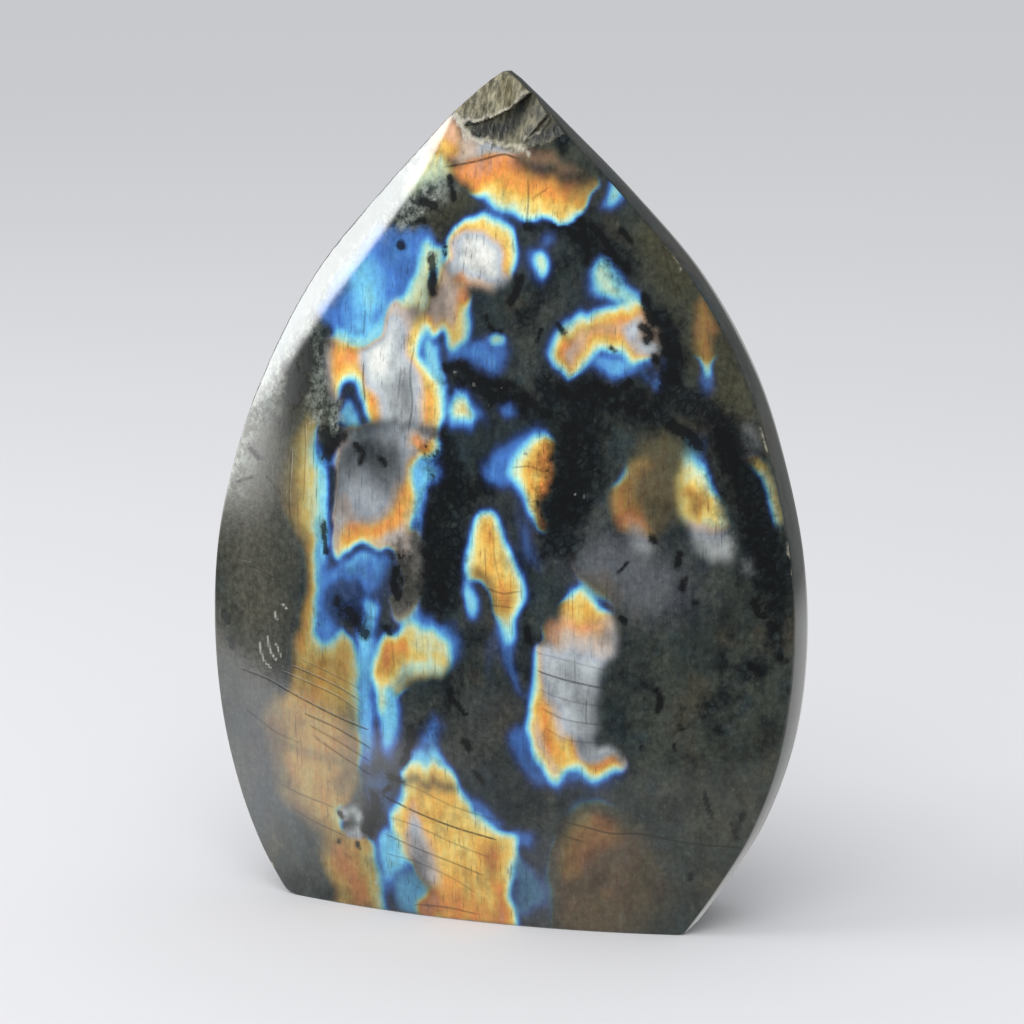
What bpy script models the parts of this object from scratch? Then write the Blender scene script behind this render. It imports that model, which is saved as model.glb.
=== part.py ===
"""A free-standing polished stone flame: one solid piece of rock.

The stone was sawn to a slab, ground to a flame outline and polished all over. Both broad
faces are shallow domes. The front face meets the side wall in a crisp edge, and the wall
rolls over softly into the back. The foot is sawn flat. One shoulder is ground away in a
plane, and the tip is broken along the rock's cleavage.

Lengths are in millimetres and are scaled to metres where the vertices are made.
X runs to the right, Z up, and the front face looks along -Y.
"""
import math

import bmesh
import bpy
from mathutils import Vector

MM = 0.001

# Driving sizes of the whole stone
HEIGHT = 109.3
THICKNESS = 30.0
BELLY_HEIGHT = 40.0

# Left and right outline of the front face, as (height, x)
LEFT_OUTLINE = [
    (0.0, -28.9), (6.0, -32.7), (14.0, -36.0), (24.0, -38.4), (36.0, -39.3), (48.0, -38.4),
    (60.0, -35.2), (72.0, -30.5), (84.0, -23.8), (94.0, -15.3), (103.0, -6.6), (HEIGHT, -0.1),
]
RIGHT_OUTLINE = [
    (0.0, 25.8), (6.0, 29.8), (14.0, 34.3), (24.0, 37.7), (36.0, 39.3), (48.0, 39.0),
    (60.0, 36.7), (72.0, 32.9), (84.0, 26.3), (94.0, 17.7), (103.0, 8.6), (HEIGHT, 1.5),
]

# Radii of the two domed faces, across and upright
FRONT_RADIUS_ACROSS = 108.0
FRONT_RADIUS_UPRIGHT = 350.0
BACK_RADIUS_ACROSS = 120.0
BACK_RADIUS_UPRIGHT = 126.0

# Side wall: how far it rolls inwards at the back, and how far the foot of it flares
WALL_ROLL = 8.8
WALL_SHOULDER = 3.3
WALL_STRAIGHT_SHARE = 0.62
WALL_NARROW_WIDTH = 18.0
FOOT_FLARE = 0.13
FLARE_FULL_HEIGHT = 10.0
FLARE_END_HEIGHT = 60.0

# Fineness of the loft
ROWS = 60
FRONT_STEPS = 28
WALL_STEPS = 7
BACK_STEPS = 16

# Ground shoulder: two ends of its chord on the front face, and how steeply it falls away
SHOULDER_TOP = (-6.5, 103.3)
SHOULDER_FOOT = (-30.6, 68.5)
SHOULDER_SLOPE = 0.66

# Small chip off the left corner of the foot, on the front edge
FOOT_CHIP_X = -28.2
FOOT_CHIP_NORMAL = (-0.60, -0.25, -0.75)

# Broken tip, as (x, height, depth under the front face)
CAP_FACE = [(-4.9, 104.6, 0.1), (3.0, 104.0, 0.1), (0.8, 109.0, 2.1)]
NOTCH_LEFT_FACE = [(-1.8, 101.3, 0.0), (1.8, 99.9, 0.0), (3.6, 105.6, 2.2)]
NOTCH_RIGHT_FACE = [(7.4, 104.2, 0.1), (3.6, 100.4, 0.4), (3.6, 105.6, 2.2)]
NOTCH_STEP_LINE = [(-0.3, 103.2), (4.4, 106.9)]
LOW_FACE = [(10.4, 102.0, 0.0), (3.4, 99.5, 0.0), (7.0, 104.2, 1.3)]
LOW_STEP_LINE = [(3.6, 100.0), (7.0, 104.2)]
CUTTER_SIZE = 60.0

CREASE_ANGLE = math.radians(24.0)
STONE_COLOUR = (0.045, 0.054, 0.046, 1.0)
STONE_ROUGHNESS = 0.12


def clear_scene():
    for old in list(bpy.data.objects):
        bpy.data.objects.remove(old, do_unlink=True)


def new_collection(name):
    collection = bpy.data.collections.new(name)
    bpy.context.scene.collection.children.link(collection)
    return collection


def ease(value):
    value = min(max(value, 0.0), 1.0)
    return value * value * (3.0 - 2.0 * value)


def outline_at(outline, height):
    """Smooth curve through the outline's points, read at one height."""
    last = len(outline) - 1
    i = 0
    while i < last - 1 and height > outline[i + 1][0]:
        i += 1

    def slope(j):
        below = outline[max(j - 1, 0)]
        above = outline[min(j + 1, last)]
        return (above[1] - below[1]) / (above[0] - below[0])

    z0, x0 = outline[i]
    z1, x1 = outline[i + 1]
    span = z1 - z0
    t = (height - z0) / span
    start = (2 * t**3 - 3 * t**2 + 1) * x0 + (t**3 - 2 * t**2 + t) * span * slope(i)
    end = (3 * t**2 - 2 * t**3) * x1 + (t**3 - t**2) * span * slope(i + 1)
    return start + end


def front_y(x, z):
    across = x**2 / (2 * FRONT_RADIUS_ACROSS)
    upright = (z - BELLY_HEIGHT)**2 / (2 * FRONT_RADIUS_UPRIGHT)
    return -THICKNESS / 2 + across + upright


def back_y(x, z):
    across = x**2 / (2 * BACK_RADIUS_ACROSS)
    upright = (z - BELLY_HEIGHT)**2 / (2 * BACK_RADIUS_UPRIGHT)
    return THICKNESS / 2 - across - upright


def wall_points(edge_x, middle_x, z):
    """Side wall in plan, a cubic curve from the crisp front edge to the back face."""
    side = math.copysign(1.0, edge_x - middle_x)
    half_width = abs(edge_x - middle_x)
    room = half_width / math.hypot(half_width, WALL_NARROW_WIDTH)
    fade = (z - FLARE_FULL_HEIGHT) / (FLARE_END_HEIGHT - FLARE_FULL_HEIGHT)
    edge_y = front_y(edge_x, z)
    flare = side * FOOT_FLARE * (1.0 - ease(fade)) * (back_y(edge_x, z) - edge_y)
    end_x = edge_x - side * WALL_ROLL * room + 0.6 * flare
    end_y = back_y(end_x, z)
    turn_x = edge_x - side * WALL_SHOULDER * room + 0.9 * flare
    turn_y = end_y - end_x / BACK_RADIUS_ACROSS * (turn_x - end_x)
    straight = WALL_STRAIGHT_SHARE
    control = [
        Vector((edge_x, edge_y)),
        Vector((edge_x + straight * flare, edge_y + straight * (end_y - edge_y))),
        Vector((turn_x, turn_y)),
        Vector((end_x, end_y)),
    ]
    points = []
    for step in range(1, WALL_STEPS + 1):
        t = step / WALL_STEPS
        weights = ((1 - t)**3, 3 * (1 - t)**2 * t, 3 * (1 - t) * t**2, t**3)
        point = sum((c * w for c, w in zip(control, weights)), Vector((0.0, 0.0)))
        points.append((point.x, point.y, z))
    return points


def section(z):
    """One level cut of the stone: front face, right wall, back face and left wall."""
    left = outline_at(LEFT_OUTLINE, z)
    right = outline_at(RIGHT_OUTLINE, z)
    middle = (left + right) / 2
    loop = []
    for step in range(FRONT_STEPS + 1):
        x = left + (right - left) * step / FRONT_STEPS
        loop.append((x, front_y(x, z), z))
    right_wall = wall_points(right, middle, z)
    left_wall = wall_points(left, middle, z)
    loop += right_wall
    for step in range(1, BACK_STEPS):
        x = right_wall[-1][0] + (left_wall[-1][0] - right_wall[-1][0]) * step / BACK_STEPS
        loop.append((x, back_y(x, z), z))
    loop += reversed(left_wall)
    return loop


def row_height(row):
    """Rows stand closer together towards the tip, where the outline narrows quickly."""
    share = row / ROWS
    return HEIGHT * (1.25 * share - 0.25 * share**3)


def loft(bm):
    """Sections joined row to row, with a flat face on the foot and one on the tip."""
    rows = []
    for row in range(ROWS + 1):
        loop = section(row_height(row))
        rows.append([bm.verts.new(Vector(point) * MM) for point in loop])
    count = len(rows[0])
    for low, high in zip(rows, rows[1:]):
        for i in range(count):
            j = (i + 1) % count
            bm.faces.new((low[i], low[j], high[j], high[i]))
    bm.faces.new(list(reversed(rows[0])))
    bm.faces.new(rows[-1])


def slice_away(bm, point, normal):
    """Cut the body with a plane, drop what lies outside and close the cut."""
    geometry = bm.verts[:] + bm.edges[:] + bm.faces[:]
    cut = bmesh.ops.bisect_plane(
        bm, geom=geometry, plane_co=Vector(point) * MM, plane_no=Vector(normal).normalized(),
        dist=1e-7, clear_outer=True)
    rim = [item for item in cut["geom_cut"] if isinstance(item, bmesh.types.BMEdge)]
    bmesh.ops.contextual_create(bm, geom=rim)


def shoulder_plane():
    """Plane through the shoulder's chord, falling away from the front face outwards."""
    top_x, top_z = SHOULDER_TOP
    foot_x, foot_z = SHOULDER_FOOT
    top = Vector((top_x, front_y(top_x, top_z), top_z))
    foot = Vector((foot_x, front_y(foot_x, foot_z), foot_z))
    chord = (top - foot).normalized()
    outwards = Vector((-chord.z, 0.0, chord.x)).normalized()
    fall = outwards + Vector((0.0, SHOULDER_SLOPE, 0.0))
    normal = chord.cross(fall)
    if normal.y > 0.0:
        normal.negate()
    return top, normal


def on_front(x, z, depth):
    return Vector((x, front_y(x, z) + depth, z))


def face_plane(points):
    """Plane through three points, with its normal looking out of the front face."""
    a, b, c = [on_front(*point) for point in points]
    normal = (b - a).cross(c - a).normalized()
    if normal.y > 0.0:
        normal.negate()
    return a, normal


def step_plane(line, towards):
    """Plane square to the front face along a line, with its normal looking at a point."""
    (x0, z0), (x1, z1) = line
    along = Vector((x1 - x0, 0.0, z1 - z0)).normalized()
    normal = Vector((-along.z, 0.0, along.x))
    start = on_front(x0, z0, 0.0)
    if normal.dot(Vector(towards) - start) < 0.0:
        normal.negate()
    return start, normal


def wedge_cutter(name, collection, planes):
    """A block trimmed by planes: what is left in front of all of them is cut away."""
    bm = bmesh.new()
    bmesh.ops.create_cube(bm, size=CUTTER_SIZE * MM)
    bmesh.ops.translate(bm, verts=bm.verts, vec=Vector((0.0, -10.0, 100.0)) * MM)
    for point, normal in planes:
        slice_away(bm, point, -normal)
    bmesh.ops.recalc_face_normals(bm, faces=bm.faces)
    mesh = bpy.data.meshes.new(name)
    bm.to_mesh(mesh)
    bm.free()
    cutter = bpy.data.objects.new(name, mesh)
    collection.objects.link(cutter)
    cutter.display_type = "WIRE"
    cutter.hide_render = True
    return cutter


def cut(piece, cutter):
    boolean = piece.modifiers.new(cutter.name, "BOOLEAN")
    boolean.operation = "DIFFERENCE"
    boolean.solver = "EXACT"
    boolean.object = cutter


def stone_material():
    material = bpy.data.materials.new("polished_feldspar")
    material.use_nodes = True
    shader = material.node_tree.nodes["Principled BSDF"]
    shader.inputs["Base Color"].default_value = STONE_COLOUR
    shader.inputs["Roughness"].default_value = STONE_ROUGHNESS
    shader.inputs["Metallic"].default_value = 0.0
    return material


def make_stone(collection, cutters):
    bm = bmesh.new()
    loft(bm)
    slice_away(bm, *shoulder_plane())
    slice_away(bm, on_front(FOOT_CHIP_X, 0.0, 0.0), FOOT_CHIP_NORMAL)
    bmesh.ops.recalc_face_normals(bm, faces=bm.faces)
    mesh = bpy.data.meshes.new("stone")
    bm.to_mesh(mesh)
    bm.free()
    mesh.shade_smooth()
    mesh.set_sharp_from_angle(angle=CREASE_ANGLE)
    mesh.materials.append(stone_material())
    stone = bpy.data.objects.new("stone", mesh)
    collection.objects.link(stone)

    below_step = (2.0, 0.0, 95.0)
    right_of_step = (20.0, 0.0, 95.0)
    cap = wedge_cutter("tip_cap_cut", cutters, [face_plane(CAP_FACE)])
    notch = wedge_cutter("tip_notch_cut", cutters, [
        face_plane(NOTCH_LEFT_FACE), face_plane(NOTCH_RIGHT_FACE),
        step_plane(NOTCH_STEP_LINE, below_step)])
    low = wedge_cutter("tip_low_cut", cutters, [
        face_plane(LOW_FACE), step_plane(LOW_STEP_LINE, right_of_step)])
    for cutter in (cap, notch, low):
        cut(stone, cutter)
    return stone


clear_scene()
flame = new_collection("stone_flame")
cutting_shapes = new_collection("cutting_shapes")
make_stone(flame, cutting_shapes)
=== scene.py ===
import math

import bpy
import numpy as np
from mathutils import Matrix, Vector


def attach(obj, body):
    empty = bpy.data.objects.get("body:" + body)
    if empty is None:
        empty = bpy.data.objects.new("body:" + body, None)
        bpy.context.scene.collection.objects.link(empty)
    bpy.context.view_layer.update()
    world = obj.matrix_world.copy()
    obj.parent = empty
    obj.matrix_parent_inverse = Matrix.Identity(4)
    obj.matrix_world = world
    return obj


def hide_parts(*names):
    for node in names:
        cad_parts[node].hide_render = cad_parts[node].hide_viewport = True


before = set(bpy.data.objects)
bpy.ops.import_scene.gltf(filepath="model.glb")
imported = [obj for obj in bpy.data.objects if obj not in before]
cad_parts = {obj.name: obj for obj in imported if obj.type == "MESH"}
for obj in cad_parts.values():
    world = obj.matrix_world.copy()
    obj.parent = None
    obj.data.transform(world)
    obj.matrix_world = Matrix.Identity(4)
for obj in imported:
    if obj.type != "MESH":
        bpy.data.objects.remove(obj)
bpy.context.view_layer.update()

MM = 0.001

# The form of the stone
# One slab of dark feldspar, ground to a flame outline and polished all over. Both broad
# faces are shallow domes, the front one ends in a crisp edge, and the side wall rolls over
# into the back. Its lengths are in millimetres, with x to the right, y to the back and z up.
stone_height = 109.3
half_thickness = 15.0
belly_height = 40.0
left_outline = [
    (0, -28.9), (6, -32.7), (14, -36), (24, -38.4), (36, -39.3), (48, -38.4), (60, -35.2), (72, -30.5),
    (84, -23.8), (94, -15.3), (103, -6.6), (108.2, -1.25), (stone_height, 0.35),
]
right_outline = [
    (0, 25.8), (6, 29.8), (14, 34.3), (24, 37.7), (36, 39.3), (48, 39), (60, 36.7), (72, 32.9),
    (84, 26.3), (94, 17.7), (103, 8.6), (108.2, 2.85), (stone_height, 1.05),
]
front_radius_across = 108.0
front_radius_upright = 350.0
back_radius_across = 120.0
back_radius_upright = 126.0
wall_roll = 8.8
wall_shoulder = 3.3
wall_straight_share = 0.62
wall_narrow_width = 18.0
foot_flare = 0.13
flare_full_height = 10.0
flare_end_height = 60.0
flare_left_at_turn = 0.9
flare_left_at_back = 0.6

shoulder_top = (-5.6, 103.0)
shoulder_foot = (-30.6, 68.5)
shoulder_slope = 0.66
shoulder_blend = 0.7
shoulder_bulge = 0.95

# the cleaved faces of the tip, each through three points given as x, height and depth under the dome
cap_face = [(-4.9, 103.6, 0.0), (3.0, 102.9, 0.0), (0.8, 109.0, 2.1)]
notch_left_face = [(-1.8, 101.3, 0.0), (1.8, 99.9, 0.0), (3.6, 105.6, 2.2)]
notch_right_face = [(7.4, 104.2, 0.1), (3.6, 100.4, 0.4), (3.6, 105.6, 2.2)]
low_face = [(10.4, 102.0, 0.0), (3.4, 99.5, 0.0), (7.0, 104.2, 1.3)]
notch_start = (-3.5, 103.0)
notch_rise = 0.061
low_step_line = [(3.6, 100.0), (7.0, 104.2)]

# layers of random relief, each a depth, a lump's width and height, and a seed
hackles = [(0.10, 0.55, 2.4, 3), (0.05, 0.22, 0.9, 4)]
ragged_cap_foot = [(0.15, 0.7, 0.7, 5)]
ragged_low_step = [(0.10, 0.6, 0.6, 6)]
cap_hackle_share = 1.3
notch_hackle_share = 1.2

edge_radius = 0.24
edge_full_wall = 4.0
edge_front_run = 8
edge_wall_run = 4
row_count = 322
tip_row_count = 92
tip_rows_from = 96.0
first_row_height = 0.25
last_row_drop = 0.02
front_columns = 196
front_close_shares = (0.0, 0.0008, 0.0018, 0.003)
front_even_from = 0.0055
wall_columns = 9
wall_close_shares = (0.0, 0.008, 0.018)
wall_even_from = 0.04
cut_search_end = 0.9
cut_search_steps = 181
cut_tolerance = 1e-6
back_columns = 82
lattice_turns = (127.1, 311.7, 74.7)
lattice_stretch = 43758.5453


def ease(value):
    value = np.clip(value, 0.0, 1.0)
    return value * value * (3.0 - 2.0 * value)


def outline_at(outline, height):
    """Smooth curve through the outline's points, read at many heights at once."""
    z, x = np.array(outline).T
    slope = np.gradient(x, z)
    slope[1:-1] = (x[2:] - x[:-2]) / (z[2:] - z[:-2])
    i = np.clip(np.searchsorted(z, height, side="right") - 1, 0, len(z) - 2)
    span = z[i + 1] - z[i]
    t = (height - z[i]) / span
    start = (2 * t**3 - 3 * t**2 + 1) * x[i] + (t**3 - 2 * t**2 + t) * span * slope[i]
    end = (3 * t**2 - 2 * t**3) * x[i + 1] + (t**3 - t**2) * span * slope[i + 1]
    return start + end


def dome_y(x, z):
    """Depth of the domed front face."""
    across = x**2 / (2 * front_radius_across)
    upright = (z - belly_height)**2 / (2 * front_radius_upright)
    return -half_thickness + across + upright


def back_y(x, z):
    """Depth of the domed back face."""
    across = x**2 / (2 * back_radius_across)
    upright = (z - belly_height)**2 / (2 * back_radius_upright)
    return half_thickness - across - upright


def lattice(cells, seed):
    """Fixed random numbers from 0 to 1 on a whole-number lattice."""
    across, up, apart = lattice_turns
    value = np.sin(cells[0] * across + cells[1] * up + seed * apart) * lattice_stretch
    return value - np.floor(value)


def mottle(u, v, seed):
    """Smooth random relief from -1 to 1 with lumps about one unit across."""
    u0, v0 = np.floor(u), np.floor(v)
    fu, fv = ease(u - u0), ease(v - v0)
    low = lattice((u0, v0), seed) * (1 - fu) + lattice((u0 + 1, v0), seed) * fu
    high = lattice((u0, v0 + 1), seed) * (1 - fu) + lattice((u0 + 1, v0 + 1), seed) * fu
    return 2 * (low * (1 - fv) + high * fv) - 1


def roughened(base, layers, x, z):
    """A value with layers of random relief on top."""
    for depth, width, height, seed in layers:
        base = base + depth * mottle(x / width, z / height, seed)
    return base


def plane_y(points):
    """Depth of the plane through three points of a cleaved face."""
    rows = [(x, z, 1.0) for x, z, depth in points]
    depths = [dome_y(x, z) + depth for x, z, depth in points]
    a, b, c = np.linalg.solve(np.array(rows), np.array(depths))
    return lambda x, z: a * x + b * z + c


def side_of(line, x, z):
    """Signed distance from a line, positive to the right of it and below it."""
    (x0, z0), (x1, z1) = line
    length = math.hypot(x1 - x0, z1 - z0)
    return ((x - x0) * (z1 - z0) - (z - z0) * (x1 - x0)) / length


def shoulder_y(x, z):
    """The ground shoulder: it falls back outwards from its chord, and bulges a little along it."""
    (top_x, top_z), (foot_x, foot_z) = shoulder_top, shoulder_foot
    start = np.array([top_x, dome_y(top_x, top_z), top_z])
    chord = np.array([top_x - foot_x, start[1] - dome_y(foot_x, foot_z), top_z - foot_z])
    chord /= np.linalg.norm(chord)
    outwards = np.array([-chord[2], 0.0, chord[0]])
    outwards /= np.linalg.norm(outwards)
    normal = np.cross(chord, outwards + np.array([0.0, shoulder_slope, 0.0]))
    flat_y = start[1] - (normal[0] * (x - start[0]) + normal[2] * (z - start[2])) / normal[1]
    run_x, run_z = foot_x - top_x, foot_z - top_z
    along = np.clip(((x - top_x) * run_x + (z - top_z) * run_z) / (run_x**2 + run_z**2), 0, 1)
    # 27 / 4 brings the greatest bulge, two thirds of the way down, to its full value
    return flat_y - shoulder_bulge * (27 / 4) * along**2 * (1 - along)


cap_y = plane_y(cap_face)
notch_left_y = plane_y(notch_left_face)
notch_right_y = plane_y(notch_right_face)
low_y = plane_y(low_face)


def blend_over(a, b, width):
    """The deeper of two surfaces, rounded where they meet."""
    gap = np.clip(0.5 + 0.5 * (b - a) / width, 0.0, 1.0)
    return a * (1 - gap) + b * gap + width * gap * (1 - gap)


def ground_y(x, z):
    """The front as it was ground, dome and shoulder, before the tip broke."""
    return blend_over(dome_y(x, z), shoulder_y(x, z), shoulder_blend)


def front_y(x, z):
    """The ground front with the cleaved faces of the tip."""
    hackle = roughened(0.0, hackles, x, z)
    y = np.maximum(ground_y(x, z), cap_y(x, z) + cap_hackle_share * hackle)
    notch = np.minimum(notch_left_y(x, z) - notch_hackle_share * hackle, notch_right_y(x, z) + hackle)
    cap_foot = roughened(notch_start[1] + notch_rise * (x - notch_start[0])**2, ragged_cap_foot, x, z)
    y = np.where((x > notch_start[0]) & (z < cap_foot), np.maximum(y, notch), y)
    right_of_step = side_of(low_step_line, x, z) > roughened(0.0, ragged_low_step, x, z)
    return np.where(right_of_step, np.maximum(y, low_y(x, z) + hackle), y)


def wall_curve(edge_x, middle_x, z, t):
    """Side wall in plan at share t of its way from the dome's edge to the back face."""
    side = np.sign(edge_x - middle_x)
    half_width = np.abs(edge_x - middle_x)
    room = half_width / np.hypot(half_width, wall_narrow_width)
    fade = (z - flare_full_height) / (flare_end_height - flare_full_height)
    edge_y = dome_y(edge_x, z)
    flare = side * foot_flare * (1.0 - ease(fade)) * (back_y(edge_x, z) - edge_y)
    end_x = edge_x - side * wall_roll * room + flare_left_at_back * flare
    end_y = back_y(end_x, z)
    turn_x = edge_x - side * wall_shoulder * room + flare_left_at_turn * flare
    turn_y = end_y - end_x / back_radius_across * (turn_x - end_x)
    weights = ((1 - t)**3, 3 * (1 - t)**2 * t, 3 * (1 - t) * t**2, t**3)
    straight = wall_straight_share
    control_x = (edge_x, edge_x + straight * flare, turn_x, end_x)
    control_y = (edge_y, edge_y + straight * (end_y - edge_y), turn_y, end_y)
    x = sum(w * c for w, c in zip(weights, control_x))
    y = sum(w * c for w, c in zip(weights, control_y))
    return x, y


def wall_from_cut(edge_x, middle_x, z):
    """Wall points of one row, from where the shaped front cuts the wall to the back face."""
    t = np.linspace(0.0, cut_search_end, cut_search_steps)
    x, y = wall_curve(edge_x, middle_x, z, t)
    buried = np.nonzero(y < front_y(x, z) - cut_tolerance)[0]
    start = t[min(buried[-1] + 1, len(t) - 1)] if len(buried) else 0.0
    even = np.linspace(wall_even_from, 1.0, wall_columns - len(wall_close_shares))
    shares = np.concatenate([wall_close_shares, even])
    return wall_curve(edge_x, middle_x, z, start + (1 - start) * shares)


def round_corner(front, wall):
    """Roll the front and wall points nearest their common corner onto a small arc."""
    corner = front[0].copy()
    along_front = (front[edge_front_run] - corner) / np.linalg.norm(front[edge_front_run] - corner)
    along_wall = (wall[edge_wall_run] - corner) / np.linalg.norm(wall[edge_wall_run] - corner)
    radius = edge_radius * min(1.0, np.linalg.norm(wall[-1] - corner) / edge_full_wall)
    for points, turn in ((front, -1.0), (wall, 1.0)):
        reach = np.linalg.norm(points - corner, axis=1)
        near = reach < radius
        angle = math.pi / 4 * (1 + turn * reach[near] / radius)
        arc = radius * (np.outer(1 - np.sin(angle), along_front) + np.outer(1 - np.cos(angle), along_wall))
        points[near] = corner + arc


def row_heights():
    """Heights of the rings, closer together near the broken tip."""
    lower = np.linspace(first_row_height, tip_rows_from, row_count - tip_row_count)[:-1]
    upper = np.linspace(tip_rows_from, stone_height - last_row_drop, tip_row_count + 1)
    return np.concatenate([[0.0], lower, upper])


def front_shares():
    """Front columns from left to right, with a few extra close to each edge."""
    close = np.array(front_close_shares)
    middle = np.linspace(front_even_from, 1 - front_even_from, front_columns - 2 * len(close))
    return np.concatenate([close, middle, 1.0 - close[::-1]])


def stone_rings():
    """Level rings of points: front left to right, right wall, back, then left wall."""
    heights = row_heights()
    lefts = outline_at(left_outline, heights)
    rights = outline_at(right_outline, heights)
    rings = []
    for z, left, right in zip(heights, lefts, rights):
        middle = (left + right) / 2
        right_wall = np.column_stack(wall_from_cut(right, middle, z))
        left_wall = np.column_stack(wall_from_cut(left, middle, z))
        x = left_wall[0, 0] + (right_wall[0, 0] - left_wall[0, 0]) * front_shares()
        front = np.column_stack([x, front_y(x, z)])
        front[0] = left_wall[0]
        front[-1] = right_wall[0]
        round_corner(front, left_wall)
        backwards = front[::-1].copy()
        round_corner(backwards, right_wall)
        x = np.linspace(right_wall[-1, 0], left_wall[-1, 0], back_columns + 2)[1:-1]
        back = np.column_stack([x, back_y(x, z)])
        ring = np.concatenate([backwards[::-1], right_wall[1:], back, left_wall[:0:-1]])
        rings.append(np.column_stack([ring, np.full(len(ring), z)]))
    return np.array(rings)


rings = stone_rings()

# The iridescent patches of the front face
# Thin layers inside the feldspar throw light back in spectral order: blue at the rim of a
# patch, then cyan, cream, gold, orange, pink and grey-lilac towards its middle. Each patch
# is an outline that gives a flash level, and the level alone picks the colour later on.
canvas_step = 0.25
canvas_half_width = 42.0
canvas_foot = -2.0
canvas_top = stone_height + 2
outline_steps = 5
line_steps = 4
far_away = 1e9
least_square = 1e-12
least_weight = 1e-6
least_light = 0.003

comb_reach = 0.62
comb_grain = [(1.0, 1.05, 16.0, 11), (0.5, 0.5, 9.0, 12)]
rim_grain_across = [(0.30, 1.7, 1.7, 13), (0.12, 0.7, 0.7, 14)]
rim_grain_upright = [(0.30, 1.9, 1.9, 15)]
fringe_grain = [(0.5, 4.5, 5.5, 17)]

# places in the spectral order: the coloured fringe ends at the rim level, and past the pale
# start the light turns pale while its level drops back
rim_level = 0.5
pale_start = 0.7
pale_span = 0.2
pale_drop = 0.2
palest = 1.5
shift_full_level = 0.2
tint_full_level = 0.25

least_width = 0.04
bare_from = 0.05
bare_width = 0.5
halo_level = 0.12
halo_peak_share = 0.6
halo_share = 1.35
flash_blur = 0.34
tint_blur = 2.2
ore_halo = 2.6
scuff_halo = 2.5
crack_reach = 0.9
crack_core = 0.45
crack_fade = 0.4
no_crack = 5.0
tone_names = ("olive", "haze", "warm", "dark", "frost_and_sheen", "chalk_and_glint")


def rounded(points, closed, steps):
    """Smooth curve through a few given points."""
    p = np.array(points, float)
    if closed:
        p = np.concatenate([p[-1:], p, p[:2]])
    else:
        p = np.concatenate([2 * p[:1] - p[1:2], p, 2 * p[-1:] - p[-2:-1]])
    t = np.linspace(0, 1, steps, endpoint=False)[:, None]
    pieces = []
    for a, b, c, d in zip(p, p[1:], p[2:], p[3:]):
        bend = (2 * a - 5 * b + 4 * c - d) * t**2 + (3 * b - a - 3 * c + d) * t**3
        pieces.append(0.5 * (2 * b + (c - a) * t + bend))
    if not closed:
        pieces.append(p[-2:-1])
    return np.concatenate(pieces)


def spans(curve, closed=False):
    """The straight spans of a curve, each from one of its points to the next."""
    following = np.roll(curve, -1, axis=0) if closed else curve[1:]
    return zip(curve, following)


def reach_to(span, x, z):
    """Distance to one straight span of a curve, and the share of the way along it."""
    (x0, z0), (x1, z1) = span[0][:2], span[1][:2]
    dx, dz = x1 - x0, z1 - z0
    share = np.clip(((x - x0) * dx + (z - z0) * dz) / (dx * dx + dz * dz + least_square), 0, 1)
    return np.hypot(x - x0 - share * dx, z - z0 - share * dz), share


def blurred(values, radius):
    """Gaussian blur of a canvas, with its radius in millimetres."""
    reach = int(3 * radius / canvas_step) + 1
    weights = np.exp(-0.5 * (np.arange(-reach, reach + 1) * canvas_step / radius)**2)
    weights /= weights.sum()
    for axis in (0, 1):
        padding = [(reach, reach) if way == axis else (0, 0) for way in (0, 1)]
        padded = np.pad(values, padding, mode="edge")
        size = values.shape[axis]
        values = sum(w * padded.take(range(k, k + size), axis=axis) for k, w in enumerate(weights))
    return values


def settled(order):
    """Flash level and paleness at a place in the spectral order, which pale lilac light ends."""
    pale = np.clip((order - pale_start) / pale_span, 0.0, palest)
    return np.minimum(order, pale_start) - pale_drop * np.minimum(pale, 1.0), pale


def order_of(level, pale):
    """The place in the spectral order that has this flash level and paleness."""
    return level + (pale_drop + pale_span) * np.minimum(pale, 1) + pale_span * np.maximum(pale - 1, 0)


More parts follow.
